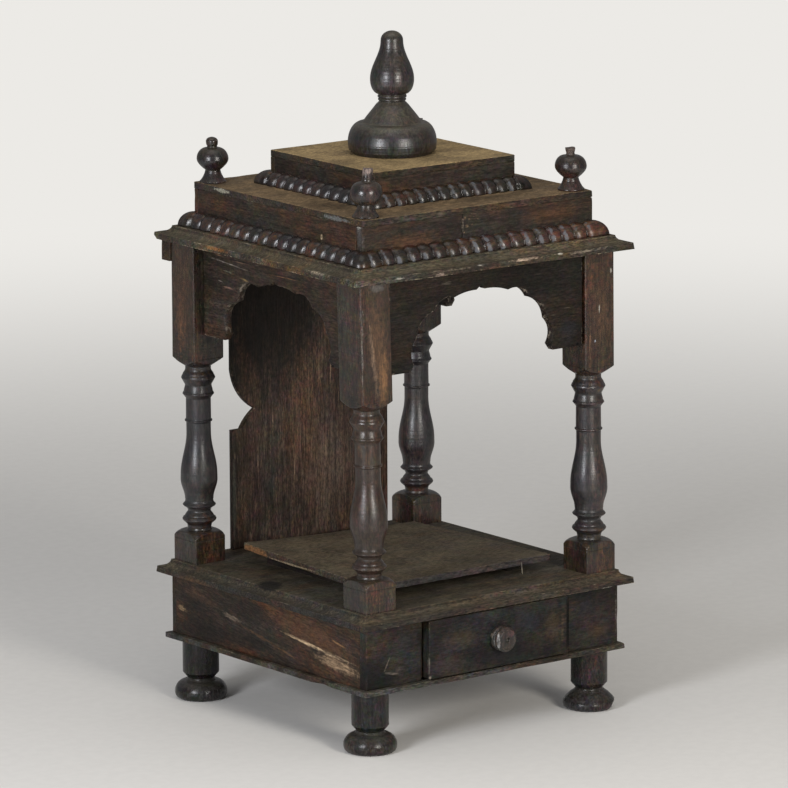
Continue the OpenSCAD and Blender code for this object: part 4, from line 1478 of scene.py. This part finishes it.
@dataclass
class Feet:
    """Four turned feet with a flattened ball; the front right one is split and worn."""

    radius: float = 17.4
    ball: float = 25.0
    ball_height: float = 18.5
    chip: float = 7.0
    finish: WoodFinish = replace(
        TURNED, name="foot_wood", dark=(13, 13, 14), body=(25, 24, 24), warm=(58, 42, 32),
        film=(38, 44, 48), mottled=2.4, gritty=2.0, film_share=0.7, dust=(104, 98, 84), dust_up=0.2,
        rough=0.27, gloss=0.33, warm_share=0.7, marks=FEET_MARKS,
    )

    def profile(self, height: float, worn: bool) -> list[Pair]:
        """Profile of a foot from the ground to the case; the worn one flares like a bell."""
        r, h, neck = self.ball, self.ball_height, self.radius - 4.4
        ball = [*round_out((r - 5, 0), (r, h * 0.35)), *round_in((r, h * 0.35), (neck + 1.5, h - 1))]
        if worn:
            ball = [
                *round_out((r - 5, 0), (r, h * 0.3), 5), (r - 0.4, h * 0.42), (r - 2.4, h * 0.58),
                (r - 6.4, h * 0.8), (neck + 2, h - 1.2),
            ]
        return [
            (0, 0), (r - 5, 0), *ball, (neck + 0.8, h), (neck, h + 0.6), (neck, h + 1.8),
            (self.radius, h + 7), (self.radius, height), (0, height),
        ]

    def build(self) -> None:
        """Turns the feet and puts them under the columns."""
        for number, corner in enumerate(CORNERS):
            node = f"foot_{corner}"
            height = box_of(node)[1][2]
            shape = Turning(self.profile(height, corner == "front_right"), seed=number).shape()
            if corner == "front_right":
                lean, side = math.radians(35), math.radians(-38)
                away = (math.cos(lean) * math.cos(side), math.cos(lean) * math.sin(side), -math.sin(lean))
                shape = shape.cut(away, (self.ball - self.chip) * math.cos(lean))
            x, y = column_axis(corner)
            finish = replace(self.finish, name=f"{self.finish.name}_{corner}", offset=number * 1.7)
            SHOP.piece(node, "turned", shape.moved(x, y, 0), finish)


@dataclass
class Case:
    """The drawer case: bottom board, sides, back, two stiles and the moulded board over them."""

    lip: float = 5.4
    cove: float = 10.5
    side: WoodFinish = replace(
        STAINED, name="case_side", grain=Grain.ALONG_Y, lean=(-7.0, 0.0, 0.0), marks=SIDE_MARKS,
    )
    stile: WoodFinish = replace(
        CLOUDED, name="case_stile", grain=Grain.ALONG_X, offset=2.0, marks=STILE_MARKS,
    )
    thin: WoodFinish = replace(
        DULL_TOP, name="bottom_board", film=(80, 82, 80), film_share=0.7, dust_up=0.25, wear_share=0.4,
        marks=BOTTOM_MARKS,
    )
    dent: Triple = (-155.0, -88.0, 61.0)
    top: WoodFinish = replace(
        DULL_TOP, name="base_board", film=(72, 74, 74), film_share=0.55, dust_up=0.5, marks=BASE_MARKS,
    )

    def build(self) -> None:
        """Makes the boards of the case."""
        plain = replace(self.side, marks=())
        right_stile = replace(self.stile, name="case_stile_right", offset=9.0, marks=RIGHT_STILE_MARKS)
        boards = {
            "base_bottom_board": (self.thin, Slot.DARK),
            "case_left_side": (self.side, Slot.BROWN),
            "case_right_side": (replace(plain, name="case_side_right", offset=5.0), Slot.BROWN),
            "case_back": (
                replace(plain, name="case_back_board", grain=Grain.ALONG_X, offset=7.0), Slot.BROWN,
            ),
            "front_stile_left": (self.stile, Slot.DARK),
            "front_stile_right": (right_stile, Slot.DARK),
        }
        for number, (node, (finish, slot)) in enumerate(boards.items()):
            shape = Board(*box_of(node), seed=number + 10).shape()
            if node == "base_bottom_board":
                gap = (shape.points - self.dent) / (5.0, 9.0, 6.0)
                shape.points[:, 0] += 3.6 * np.exp(-(gap**2).sum(1))
            SHOP.piece(node, "wood", shape, finish)
        low, high = box_of("base_top_board")
        half = (high - low) / 2
        edge = [(0.0, 0.0), *round_out((0.6, self.lip), (self.cove, high[2] - low[2]))]
        shape = MouldedBoard(half[:2], edge, seed=21).shape().moved(0, 0, low[2])
        SHOP.piece("base_top_board", "wood", shape, self.top)
        for node in ("drawer_runners", "drawer_guides"):
            SHOP.dress(node, RAW)


@dataclass
class Drawer:
    """The drawer with its turned knob."""

    knob_radius: float = 12.0
    front: WoodFinish = replace(
        CLOUDED, name="drawer_front_wood", grain=Grain.ALONG_X, offset=4.0, marks=FRONT_MARKS,
    )
    knob: WoodFinish = replace(
        TURNED, name="knob_wood", body=(30, 28, 26), film=(50, 51, 50), film_share=0.5,
        axis=(0.0, 1.0, 0.0), dust=(112, 110, 104), dust_thin=0.03, dust_groove=0.25, rough=0.36, gloss=0.5,
        marks=KNOB_MARKS,
    )

    def knob_profile(self, length: float) -> list[Pair]:
        """Profile of the knob from the drawer front to its hollow face."""
        r, k = self.knob_radius, length
        return [
            (0, 0), (r - 0.9, 0), (r - 0.4, k * 0.12), (r - 0.9, k * 0.27), (r - 2.6, k * 0.36),
            (r - 2.6, k * 0.48), (r - 0.4, k * 0.6), (r, k * 0.7), (r - 0.3, k * 0.8), (r - 2.4, k * 0.98),
            (r - 3, k), (r - 3.6, k * 0.96), (2.4, k * 0.97), (1.5, k * 0.8), (0, k * 0.8),
        ]

    def build(self) -> None:
        """Makes the drawer's boards and its knob."""
        shape = Board(*box_of("drawer_front"), seed=31, ease=1.2).shape()
        SHOP.piece("drawer_front", "wood", shape, self.front, Body.DRAWER)
        low, high = box_of("drawer_sides")
        thick = high[0] - box_of("drawer_back")[1][0]
        pair = [
            Board(low, (low[0] + thick, high[1], high[2]), seed=32).shape(),
            Board((high[0] - thick, low[1], low[2]), high, seed=33).shape(),
        ]
        SHOP.piece("drawer_sides", "wood", Shape.joined(pair), RAW, Body.DRAWER)
        across = replace(RAW, name="raw_inside_across", grain=Grain.ALONG_X, offset=3.0)
        for number, node in enumerate(("drawer_back", "drawer_bottom")):
            shape = Board(*box_of(node), seed=34 + number).shape()
            SHOP.piece(node, "wood", shape, across, Body.DRAWER)
        low, high = box_of("drawer_knob")
        shape = Turning(self.knob_profile(high[1] - low[1]), sides=72, step=0.9, seed=36).shape()
        turn = np.array([[1, 0, 0], [0, 0, -1], [0, 1, 0]], float)
        shape = shape.placed(turn, (0, high[1], (low[2] + high[2]) / 2))
        SHOP.piece("drawer_knob", "turned", shape, self.knob, Body.DRAWER)


@dataclass
class ShrineFloor:
    """The loose, warped floor board on its battens; its lifts follow CORNERS."""

    lifts: Sequence[float] = (2.0, 1.5, 8.0, -3.0)
    short_back_left: float = 10.0
    sliver_lean: float = 6.0
    finish: WoodFinish = replace(
        DULL_TOP, name="floor_board_wood", dark=(40, 36, 31), body=(72, 63, 53), dust=(122, 110, 88),
        dust_up=0.7, marks=FLOOR_MARKS,
    )

    def build(self) -> None:
        """Makes the warped board and dresses its battens."""
        low, high = box_of("floor_board")
        shape = Board(low, high, seed=41, ease=0.8).shape()
        share = (shape.points - low) / (high - low)
        x, y = share[:, 0], share[:, 1]
        corners = ((1 - x) * (1 - y), x * (1 - y), (1 - x) ** 1.5 * y**1.5, x * y)
        shape.points[:, 2] += sum(share * lift for share, lift in zip(corners, self.lifts))
        shape.points[:, 1] -= self.short_back_left * (1 - x) * y
        sliver = Board((-0.42, -0.9, -11.8), (0.42, 0.4, 0.0), seed=42, ease=0.3, nicks=0, sway=0.0).shape()
        c, s = (f(math.radians(self.sliver_lean)) for f in (math.cos, math.sin))
        turn = np.array([[c, 0, -s], [0, 1, 0], [s, 0, c]])
        shape = Shape.joined([shape, sliver.placed(turn, (65.3, low[1], 146.6))])
        SHOP.piece("floor_board", "wood", shape, self.finish)
        SHOP.dress("floor_battens", DIM)


@dataclass
class Columns:
    """Four turned columns with square blocks at foot and head."""

    block: float = 35.0
    low_block: float = 30.0
    high_block: float = 120.0
    shoulder: float = 8.5
    ring: float = 16.2
    vase: float = 17.6
    neck: float = 11.7
    lean: Sequence[Triple] = ((-5.8, 0.4, 1.8), (-2.9, 0.0, 1.0), (0.0, 0.0, 1.0), (0.0, 0.0, 1.0))
    finish: WoodFinish = BLOCKED

    def profile(self, height: float) -> list[Pair]:
        """Profile of a column; the square blocks cut its wide ends.

        Args:
            height: height of the whole column.

        Returns:
            Points of radius and height.
        """
        low, high, wide = self.low_block, height - self.high_block, self.block * 0.8
        r, v, n, waist = self.ring, self.vase, self.neck, self.ring - 5.4
        shoulder = self.block * 0.71
        return [
            (0, 0), (wide, 0), (wide, low - self.shoulder),
            *round_in((shoulder, low - self.shoulder), (waist + 1.2, low)), (waist + 0.4, low + 2),
            *ogee((waist + 0.8, low + 4.5), (r, low + 10.6)), (r - 0.8, low + 12.2),
            *ogee((r - 2.5, low + 13.4), (waist, low + 18.8)),
            *ogee((waist + 0.6, low + 20), (r - 0.4, low + 24.4)), (r - 2.6, low + 26.8),
            (r - 2.9, low + 29), *ogee((r - 2.6, low + 30), (v, low + 49), 14),
            *ogee((v - 0.1, low + 53), (n, high - 64), 24), (n, high - 54), (n + 1.4, high - 53),
            (n + 1.4, high - 52), (n + 0.3, high - 51.2), (n + 0.1, high - 31), (n + 1.2, high - 29.4),
            (r - 1.2, high - 26.8), (r - 1.8, high - 25.4),
            *ogee((r - 2.4, high - 25), (r - 3.6, high - 18)), (r, high - 11.4), (r - 0.7, high - 9.4),
            *ogee((r - 1.4, high - 8.6), (r - 4, high - 3), 6), (r - 4, high),
            (shoulder, high + self.shoulder), (wide, high + self.shoulder), (wide, height), (0, height),
        ]

    def build(self) -> None:
        """Turns the columns and stands them on the base board."""
        for number, corner in enumerate(CORNERS):
            node = f"column_{corner}"
            low, high = box_of(node)
            shape = Turning(self.profile(high[2] - low[2]), block=self.block / 2, seed=50 + number).shape()
            x, y = column_axis(corner)
            dx, dy, power = self.lean[number]
            share = np.clip(shape.points[:, 2] / (high[2] - low[2]), 0, 1) ** power
            shape.points[:, :2] += share[:, None] * (dx, dy)
            near = corner == "front_left"
            # the front left vase gets a brown tint; on the other columns a bluish veil paints the cool sheen
            # of the lamps on their vases
            tint_and_sheen = (47, 34, 27) if near else (34, 39, 48)
            veil = Mark((x, y, 243), (30, 30, 78), tint_and_sheen, 0.42, 0.1, square=1.0, matt=0.07 if near else 0.1)
            marks = (veil, *COLUMN_MARKS.get(corner, ()))
            finish = replace(self.finish, name=f"column_wood_{corner}", offset=11 + number * 2.3, marks=marks)
            SHOP.piece(node, "turned", shape.moved(x, y, low[2]), finish)


def dense(lines: Sequence[Pair]) -> list[Pair]:
    """A closed outline with points at most a few millimetres apart."""
    return finer([*lines, lines[0]], 4.0, 0.0001)[:-1]


@dataclass(frozen=True)
class Opening:
    """Sizes of an arch's opening.

    The cusps are shares of the right half's width and height, and the lobes say how far
    the stretches between them bow out.
    """

    left: float
    right: float
    peak: float
    top: float
    cusps: Sequence[Pair] = ((0, 0), (0.06, 0.055), (0.4, 0.12), (0.7, 0.27), (0.96, 0.62), (1, 1))
    lobes: Sequence[float] = (0, 0.05, 0.2, 0.17, 0.2)

    def half(self, width: float, drop: float) -> list[Pair]:
        """One half of the opening, from its peak to the lower point beside it."""
        made: list[Pair] = []
        for (ax, ay), (bx, by), lobe in zip(self.cusps, self.cusps[1:], self.lobes):
            a, b = (ax * width, -self.top - ay * drop), (bx * width, -self.top - by * drop)
            made += bow(a, b, lobe, 2 if lobe == 0 else 9)
        return made


@dataclass
class Arches:
    """Three arch boards sawn with many lobes, hanging between the column blocks."""

    nose: float = 6.0
    front: Opening = Opening(22.5, 45.0, -13.0, 17.0)
    side: Opening = Opening(
        35.5, 36.0, 5.0, 21.0,
        cusps=((0, 0), (0.05, 0.07), (0.33, 0.145), (0.78, 0.44), (1, 1)),
        lobes=(0, 0.05, 0.25, 0.28),
    )
    reach: float = 8.0
    short: float = 6.0
    finish: WoodFinish = SAWN

    def outline(self, length: float, height: float, opening: Opening) -> list[Pair]:
        """Outline of an arch board whose upper edge lies at height 0.

        Args:
            length: length of the board.
            height: height of the board.
            opening: its opening.

        Returns:
            The outline with the wood on its left.
        """
        peak, drop, ends = opening.peak, height - self.nose - opening.top, length / 2
        half_l, half_r = ends - opening.left + peak, ends - opening.right - peak
        left = replace(self.front, top=opening.top)
        side_l, side_r = left.half(half_l, drop), opening.half(half_r, drop)
        slope = 5 * self.nose / (self.nose + 1)
        return dense([
            (-ends, 0), (-ends, -height), (peak - half_l - slope, -height),
            (peak - half_l, self.nose - height), *[(peak - x, z) for x, z in reversed(side_l[1:])],
            *[(peak + x, z) for x, z in side_r], (peak + half_r, self.nose - height),
            (peak + half_r + slope, -height), (ends, -height), (ends, 0),
        ])

    def build(self) -> None:
        """Saws the three boards."""
        low, high = box_of("arch_front")
        size = high - low
        lines = self.outline(size[0], size[2], self.front)
        shape = SawnPanel(lines, size[1], seed=61).shape().moved(0, low[1], high[2])
        depth = (high[1] - shape.points[:, 1]) / size[1]
        shape.points[:, 0] -= self.reach * np.clip((low[0] + 12 - shape.points[:, 0]) / 12, 0, 1)
        shape.points[:, 0] -= self.short * depth * np.clip((shape.points[:, 0] - high[0] + 14) / 14, 0, 1)
        front = replace(
            self.finish, name="arch_front_wood", dark=(17, 15, 13), body=(33, 29, 25), warm=(56, 42, 31),
            film=(38, 40, 38), gloss=0.12, grain=Grain.ALONG_X, offset=21.0, marks=ARCH_FRONT_MARKS,
        )
        SHOP.piece("arch_front", "sawn", shape, front)
        for side, offset in (("left", 23.0), ("right", 25.0)):
            low, high = box_of(f"arch_{side}")
            size = high - low
            way, outside, marks = (1, low[0], ARCH_LEFT_MARKS) if side == "left" else (-1, high[0], ())
            turn = np.array([[0, way, 0], [1, 0, 0], [0, 0, 1]], float)
            shape = SawnPanel(self.outline(size[1], size[2], self.side), size[0], seed=62).shape()
            shape = shape.placed(turn, (outside, 0, high[2]))
            finish = replace(
                self.finish, name=f"arch_{side}_wood", grain=Grain.ALONG_Y, offset=offset, marks=marks,
            )
            SHOP.piece(f"arch_{side}", "sawn", shape, finish)


@dataclass
class BackWall:
    """The tall notched panel and the rail over it, behind the columns."""

    notch_up: float = 116.5
    notch_height: float = 58.0
    notch_depth: float = 27.0
    panel: WoodFinish = PANEL
    rail: WoodFinish = replace(STAINED, name="back_rail_wood", grain=Grain.ALONG_X, offset=31.0)

    def notch(self) -> list[Pair]:
        """Half of the pointed notch: how far it goes in, and height over its foot."""
        d, h = self.notch_depth, self.notch_height
        point = (d, h * 0.31)
        return [(0, 0), *bow((d * 0.38, 0), point, 0.06), *bow(point, (0, h), 0.12), (0, h)]

    def build(self) -> None:
        """Saws the panel and makes the rail."""
        low, high = box_of("back_panel")
        left, right, height = low[0], high[0], high[2] - low[2]
        cut = [(x, z + self.notch_up) for x, z in self.notch()]
        lines = [
            (left, 0), (right, 0), *[(right - x, z) for x, z in cut], (right, height), (left, height),
            *[(left + x, z) for x, z in reversed(cut)],
        ]
        shape = SawnPanel(dense(lines), high[1] - low[1], seed=71).shape().moved(0, low[1], low[2])
        SHOP.piece("back_panel", "sawn", shape, self.panel)
        shape = Board(*box_of("back_rail"), seed=72).shape()
        SHOP.piece("back_rail", "wood", shape, self.rail)


@dataclass
class Tier:
    """One stepped box of the roof with its rope moulding, before the roof's twist."""

    name: str
    half: float
    rope_height: float
    rope_depth: float
    strands: dict[str, Sequence[float]]
    joint: float | None = None
    board: float = 10.0
    back: float = 6.0
    finish: WoodFinish = RED_BOARD
    lid: WoodFinish = LID
    rope: WoodFinish = ROPE
    seed: int = 80
    marks: dict[str, tuple[Mark, ...]] = field(default_factory=dict)

    def build(self, degrees: float) -> None:
        """Makes the box and its rope moulding.

        Args:
            degrees: turn of the roof about the upright axis.
        """
        twist = about_z(degrees)
        h, b = self.half, self.board
        low, high = box_of(f"{self.name}_tier_top")
        z0, z1, top = box_of(f"{self.name}_tier_front")[0][2], low[2], high[2]
        fronts = [(-h, h)] if self.joint is None else [(-h, self.joint - 0.25), (self.joint + 0.25, h)]
        parts = {
            "front": [((x0, -h, z0), (x1, b - h, z1)) for x0, x1 in fronts],
            "back": [((-h, h - self.back, z0), (h, h, z1))],
            "sides": [
                ((-h, b - h, z0), (b - h, h - self.back, z1)), ((h - b, b - h, z0), (h, h - self.back, z1))
            ],
            "top": [((-h, -h, z1), (h, h, top))],
        }
        for number, (part, boxes) in enumerate(parts.items()):
            first, lid = self.seed + (0, 3, 4, 6)[number], part == "top"
            shapes = [
                Board(*box, seed=first + i, ease=0.8 if lid else 1.0).shape() for i, box in enumerate(boxes)
            ]
            node = f"{self.name}_tier_{part}"
            finish = replace(
                self.lid if lid else self.finish, name=f"{node}_wood", offset=self.seed / 7 + number * 1.9,
                grain=Grain.ALONG_Y if part == "sides" else Grain.ALONG_X,
                marks=tuple(mark.swung(degrees) for mark in self.marks.get(part, ())),
            )
            SHOP.piece(node, "wood", Shape.joined(shapes).placed(twist, (0, 0, 0)), finish)
        node = f"{self.name}_rope_moulding"
        ring = RopeRing(h, self.rope_height, self.rope_depth, seed=self.seed, **self.strands)
        shape = ring.shape().moved(0, 0, z0).placed(twist, (0, 0, 0))
        SHOP.piece(node, "carved", shape, replace(self.rope, name=f"{node}_wood"))


def even_strands(first: float, last: float, count: int, seed: int) -> list[float]:
    """Middles of strands that are carved by eye, so not quite evenly spaced."""
    rng = np.random.default_rng(seed)
    pitch = (last - first) / (count - 1)
    return [float(first + pitch * (i + 0.1 * rng.uniform(-1, 1))) for i in range(count)]


@dataclass
class Roof:
    """The moulded cornice board and the two tiers, all a little twisted on the columns."""

    twist: float = -1.4
    half: float = 161.5
    lip: float = 5.8
    cove: float = 13.0
    chip: float = 5.0
    lower_half: float = 133.0
    upper_half: float = 81.5
    finish: WoodFinish = replace(
        DULL_TOP, name="cornice_wood", body=(58, 51, 42), film=(88, 88, 82), film_share=0.5,
        warm=(100, 72, 42), warm_share=0.9, mottled=1.3, gritty=1.8, dust_up=0.5, dust_thin=0.1,
        wear_share=0.45, wear=(150, 138, 116),
    )

    def build(self) -> None:
        """Makes the cornice and both tiers."""
        turn = about_z(self.twist)
        low, high = box_of("cornice_board")
        edge = [(0.0, 0.0), *round_out((0.8, self.lip), (self.cove, high[2] - low[2]))]
        shape = MouldedBoard((self.half, self.half), edge, seed=75).shape()
        inward = np.array([1, -1, 0]) / math.sqrt(2)
        gap = (shape.points - [-self.half, self.half, 0]) @ inward + shape.points[:, 2]
        push = np.clip(self.chip - gap, 0, None) / 2
        shape.points += push[:, None] * (inward + [0, 0, 1])
        finish = replace(self.finish, marks=tuple(mark.swung(self.twist) for mark in CORNICE_MARKS))
        shape = shape.moved(0, 0, low[2]).placed(turn, (0, 0, 0))
        SHOP.piece("cornice_board", "wood", shape, finish)
        runs = (
            (-124.8, 128.1, 18), (-123.1, 133.6, 18), (-126, 126, 18), (-126, 126, 18),
            (-70.9, 73.0, 12), (-71.5, 70.0, 11), (-73, 73, 12), (-73, 73, 12),
        )
        strands = [even_strands(*run, 1 + i) for i, run in enumerate(runs)]
        sides = ("front", "left", "right", "back")
        lower, upper = dict(zip(sides, strands)), dict(zip(sides, strands[4:]))
        marks = {"front": JOINT_MARKS, "sides": JOINT_MARKS, "top": LID_MARKS}
        Tier(
            "lower", self.lower_half, 14.0, 11.5, lower, joint=-19.0, lid=LOWER_LID, marks=marks,
        ).build(self.twist)
        Tier("upper", self.upper_half, 13.0, 11.5, upper, seed=90).build(self.twist)


@dataclass
class Finials:
    """The large finial and the four corner finials, three of them broken."""

    dome: float = 41.7
    bulb: float = 20.6
    height: float = 114.5
    corner_bulb: float = 15.0
    askew: Sequence[tuple[Pair, Pair]] = (
        ((0, 0), (1.9, -1.5)), ((-0.9, 0.7), (-0.8, 0.6)), ((-0.8, 0.6), (-0.7, 0.6)), ((0, 0), (0, 0)),
    )
    whole: str = "back_left"
    finish: WoodFinish = TURNED

    def large_profile(self) -> list[Pair]:
        """Profile of the large finial."""
        r, b, h = self.dome, self.bulb, self.height
        return [
            (0, 0), (r * 0.9, 0), (r * 0.985, h * 0.035),
            *round_in((r, h * 0.085), (r * 0.72, h * 0.25), 12), (r * 0.66, h * 0.255),
            (r * 0.65, h * 0.262), (r * 0.58, h * 0.297), (r * 0.36, h * 0.398), (r * 0.29, h * 0.423),
            (r * 0.316, h * 0.434), (r * 0.316, h * 0.445), (r * 0.285, h * 0.451), (r * 0.326, h * 0.458),
            (r * 0.326, h * 0.47), (r * 0.3, h * 0.478),
            *round_out((b * 0.62, h * 0.484), (b, h * 0.6), 12),
            *ogee((b, h * 0.605), (b * 0.515, h * 0.917), 18), *round_in((b * 0.51, h * 0.925), (0, h), 12),
        ]

    def corner_profile(self, top: float, whole: bool, stub: float, full: bool) -> list[Pair]:
        """Profile of a corner finial that ends in a ball, or in a broken stub.

        Args:
            top: its height.
            whole: whether it still has its ball.
            stub: radius of the broken stub.
            full: whether the belly is round below its widest place, or tapers.

        Returns:
            Points of radius and height.
        """
        f, neck = self.corner_bulb, self.corner_bulb * 0.48
        taper = [(neck + (f - neck) * math.sin(math.pi * i / 20), 12 + 1.05 * i) for i in range(10)]
        made = [
            (0, 0), (f * 0.82, 0), (f * 0.84, 1.4), (f * 0.75, 2.7), (f * 0.68, 4.2), (f * 0.6, 6.4),
            (f * 0.53, 8.8), (neck, 11.4), *(round_out((neck, 12), (f, 22.5), 10) if full else taper),
            *round_in((f, 22.5), (f * 0.38, 33), 10),
        ]
        if whole:
            middle = (34 + top) / 2 + 0.6
            ball = [*round_out((4.8, 34.8), (5.7, middle), 6), *round_in((5.7, middle), (0, top), 6)]
            return [*made, (4.9, 33.7), (4.6, 34.5), *ball]
        broken = ((-0.2, 33.6), (-0.5, 35), (0.3, top - 1.6), (0.4, top))
        if full:
            broken = ((0.3, 33.6), (-0.1, 35), (0, top - 2), (-0.3, top))
        return [*made, *((stub + out, height) for out, height in broken), (0, top)]

    def build(self) -> None:
        """Turns the finials."""
        low, _ = box_of("kalash_finial")
        shape = Turning(self.large_profile(), sides=112, seed=100).shape().moved(0, 0, low[2])
        large = replace(
            self.finish, name="kalash_wood", body=(35, 33, 31), film=(55, 58, 62), dust_up=0.42,
            dust=(118, 110, 92), dust_thin=0.03, rough=0.32, gloss=0.6, mottled=1.6, gritty=1.7,
            offset=41.0,
        )
        SHOP.piece("kalash_finial", "turned", shape, large)
        for number, corner in enumerate(CORNERS):
            node = f"corner_finial_{corner}"
            low, high = box_of(node)
            near = corner == "front_left"
            profile = self.corner_profile(high[2] - low[2], corner == self.whole, 4.9 if near else 4.4, near)
            shape = Turning(profile, sides=72, step=1.0, seed=101 + number).shape()
            if corner != self.whole:
                over = np.clip(shape.points[:, 2] - 30, 0, None)
                shape.points[:, 2] -= over * 0.06 * (1 + wobble(shape.points, 3, number))
            shift, tilt = np.array(self.askew[number])
            shape.points[:, :2] += shift + (shape.points[:, 2:] / 45) ** 2 * tilt
            x, y, _ = (low + high) / 2
            split = (124, 108, 101) if near else (94, 78, 70)
            broken = Mark((x, y, high[2] + 1), (9, 9, 10), split, 0.75, speckle=0.4, matt=0.5)
            finish = replace(
                self.finish, name=f"corner_finial_wood_{corner}", body=(32, 27, 26), warm=(72, 46, 34),
                warm_share=0.7, dust_up=0.22, rough=0.28, offset=43.0 + number,
                marks=() if corner == self.whole else (broken,),
            )
            SHOP.piece(node, "turned", shape.moved(x, y, low[2]), finish)


# ---- the studio ----


@dataclass(frozen=True)
class Lamp:
    """A softbox; places and sizes are in metres, its power in watts, its colour a screen colour."""

    name: str
    place: Triple
    aim: Triple
    size: Pair
    power: float
    colour: Triple

    def stand(self) -> None:
        """Puts the lamp at its place, turned towards its aim."""
        data = bpy.data.lights.new(self.name, "AREA")
        data.shape = "RECTANGLE"
        data.size, data.size_y = self.size
        data.energy, data.color = self.power, srgb(*self.colour)[:3]
        made = stood(self.name, data)
        made.location = self.place
        made.rotation_euler = (Vector(self.aim) - made.location).to_track_quat("-Z", "Y").to_euler()


@dataclass
class Studio:
    """Pale floor, two low softboxes on the viewer's side, soft top light and the camera."""

    place: Triple = (-3.78623, -4.83681, 1.5579)
    yaw: float = 38.0
    pitch: float = 11.586
    roll: float = -0.227
    lens: float = 304.78
    shift: Pair = (0.00874, -0.00069)
    pale: Triple = (236, 234, 230)
    ambient: float = 0.27

    def camera(self) -> None:
        """Puts the camera at its place."""
        yaw, pitch, roll = radians((self.yaw, self.pitch, self.roll))
        ahead = Vector((math.sin(yaw) * math.cos(pitch), math.cos(yaw) * math.cos(pitch), -math.sin(pitch)))
        level = Vector((math.cos(yaw), -math.sin(yaw), 0))
        up = level.cross(ahead)
        right = level * math.cos(roll) + up * math.sin(roll)
        above = up * math.cos(roll) - level * math.sin(roll)
        data = bpy.data.cameras.new("camera")
        data.sensor_width, data.lens = 36.0, self.lens
        data.shift_x, data.shift_y = self.shift
        data.clip_end = 60.0
        turn = Matrix((right, above, -ahead)).transposed().to_4x4()
        turn.translation = Vector(self.place)
        made = stood("camera", data)
        made.matrix_world = turn
        bpy.context.scene.camera = made

    def lamps(self) -> None:
        """Places the softboxes, which face the middle of the temple, and the top light."""
        reach, aim, box = 2.3, (0.0, 0.0, 0.32), (0.55, 0.7)
        turns = map(math.radians, (71.0, 6.0))
        left, right = ((-reach * math.sin(turn), -reach * math.cos(turn), 0.85) for turn in turns)
        Lamp("softbox_left", left, aim, box, 34.0, (244, 246, 251)).stand()
        Lamp("softbox_right", right, aim, box, 30.0, (255, 250, 242)).stand()
        Lamp("top_light", (-0.3, -0.2, 3.0), (0.0, 0.0, 0.4), (2.2, 2.2), 14.0, (255, 252, 246)).stand()

    def world(self) -> None:
        """Even light all round, with a pale background for the camera."""
        made = bpy.data.worlds.new("studio")
        bpy.context.scene.world = made
        net = Wiring.emptied(made)
        path = net.node("LightPath").outputs
        seen = net.maths("MAXIMUM", path["Is Camera Ray"], path["Is Transmission Ray"])
        even = net.node("Background", None, Color=srgb(250, 250, 252), Strength=self.ambient)
        shown = net.node("Background", None, Color=srgb(*self.pale), Strength=1.0)
        net.end(net.blended(seen, even, shown), "OutputWorld")

    def floor(self) -> None:
        """A wide pale floor that fades into the background and keeps the shadow."""
        size, parts = 30.0, 24
        wide = parts + 1
        lines = np.linspace(-size, size, wide)
        firsts = [row * wide + column for row in range(parts) for column in range(parts)]
        faces = [(i, i + 1, i + wide + 1, i + wide) for i in firsts]
        mesh = bpy.data.meshes.new("studio_floor")
        mesh.from_pydata([(x, y, 0.0) for y in lines for x in lines], [], faces)
        made = bpy.data.materials.new("pale_floor")
        net = Wiring.emptied(made)
        place = net.node("TexCoord").outputs["Object"]
        far = net.span(net.vectors("LENGTH", place), 0.6, 2.6)
        grain = net.span(net.noise(place, 90.0, 3.0), 0.3, 0.7, 0.97, 1.0)
        colour = net.scaled(srgb(*self.pale)[:3], grain)
        matt = net.node("BsdfPrincipled", None, Base_Color=colour, Roughness=0.85)
        matt.inputs["Specular IOR Level"].default_value = 0.2
        path = net.node("LightPath").outputs
        glow = net.node("Emission", None, Color=srgb(*self.pale), Strength=1.0)
        net.end(net.blended(net.times(far, path["Is Camera Ray"]), matt, glow))
        mesh.materials.append(made)
        stood("studio_floor", mesh)

    def build(self) -> None:
        """Sets up camera, lamps, background and floor."""
        self.camera()
        self.lamps()
        self.world()
        self.floor()
        bpy.context.scene.view_settings.view_transform = "Standard"


def main() -> None:
    """Builds the temple from the ground up, then the studio."""
    logging.basicConfig(level=logging.INFO, format="%(name)s %(message)s")
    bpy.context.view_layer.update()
    Studio().build()
    for part in (Feet(), Case(), Drawer(), ShrineFloor(), Columns(), Arches(), BackWall(), Roof(), Finials()):
        part.build()


if __name__ == "__main__":
    main()
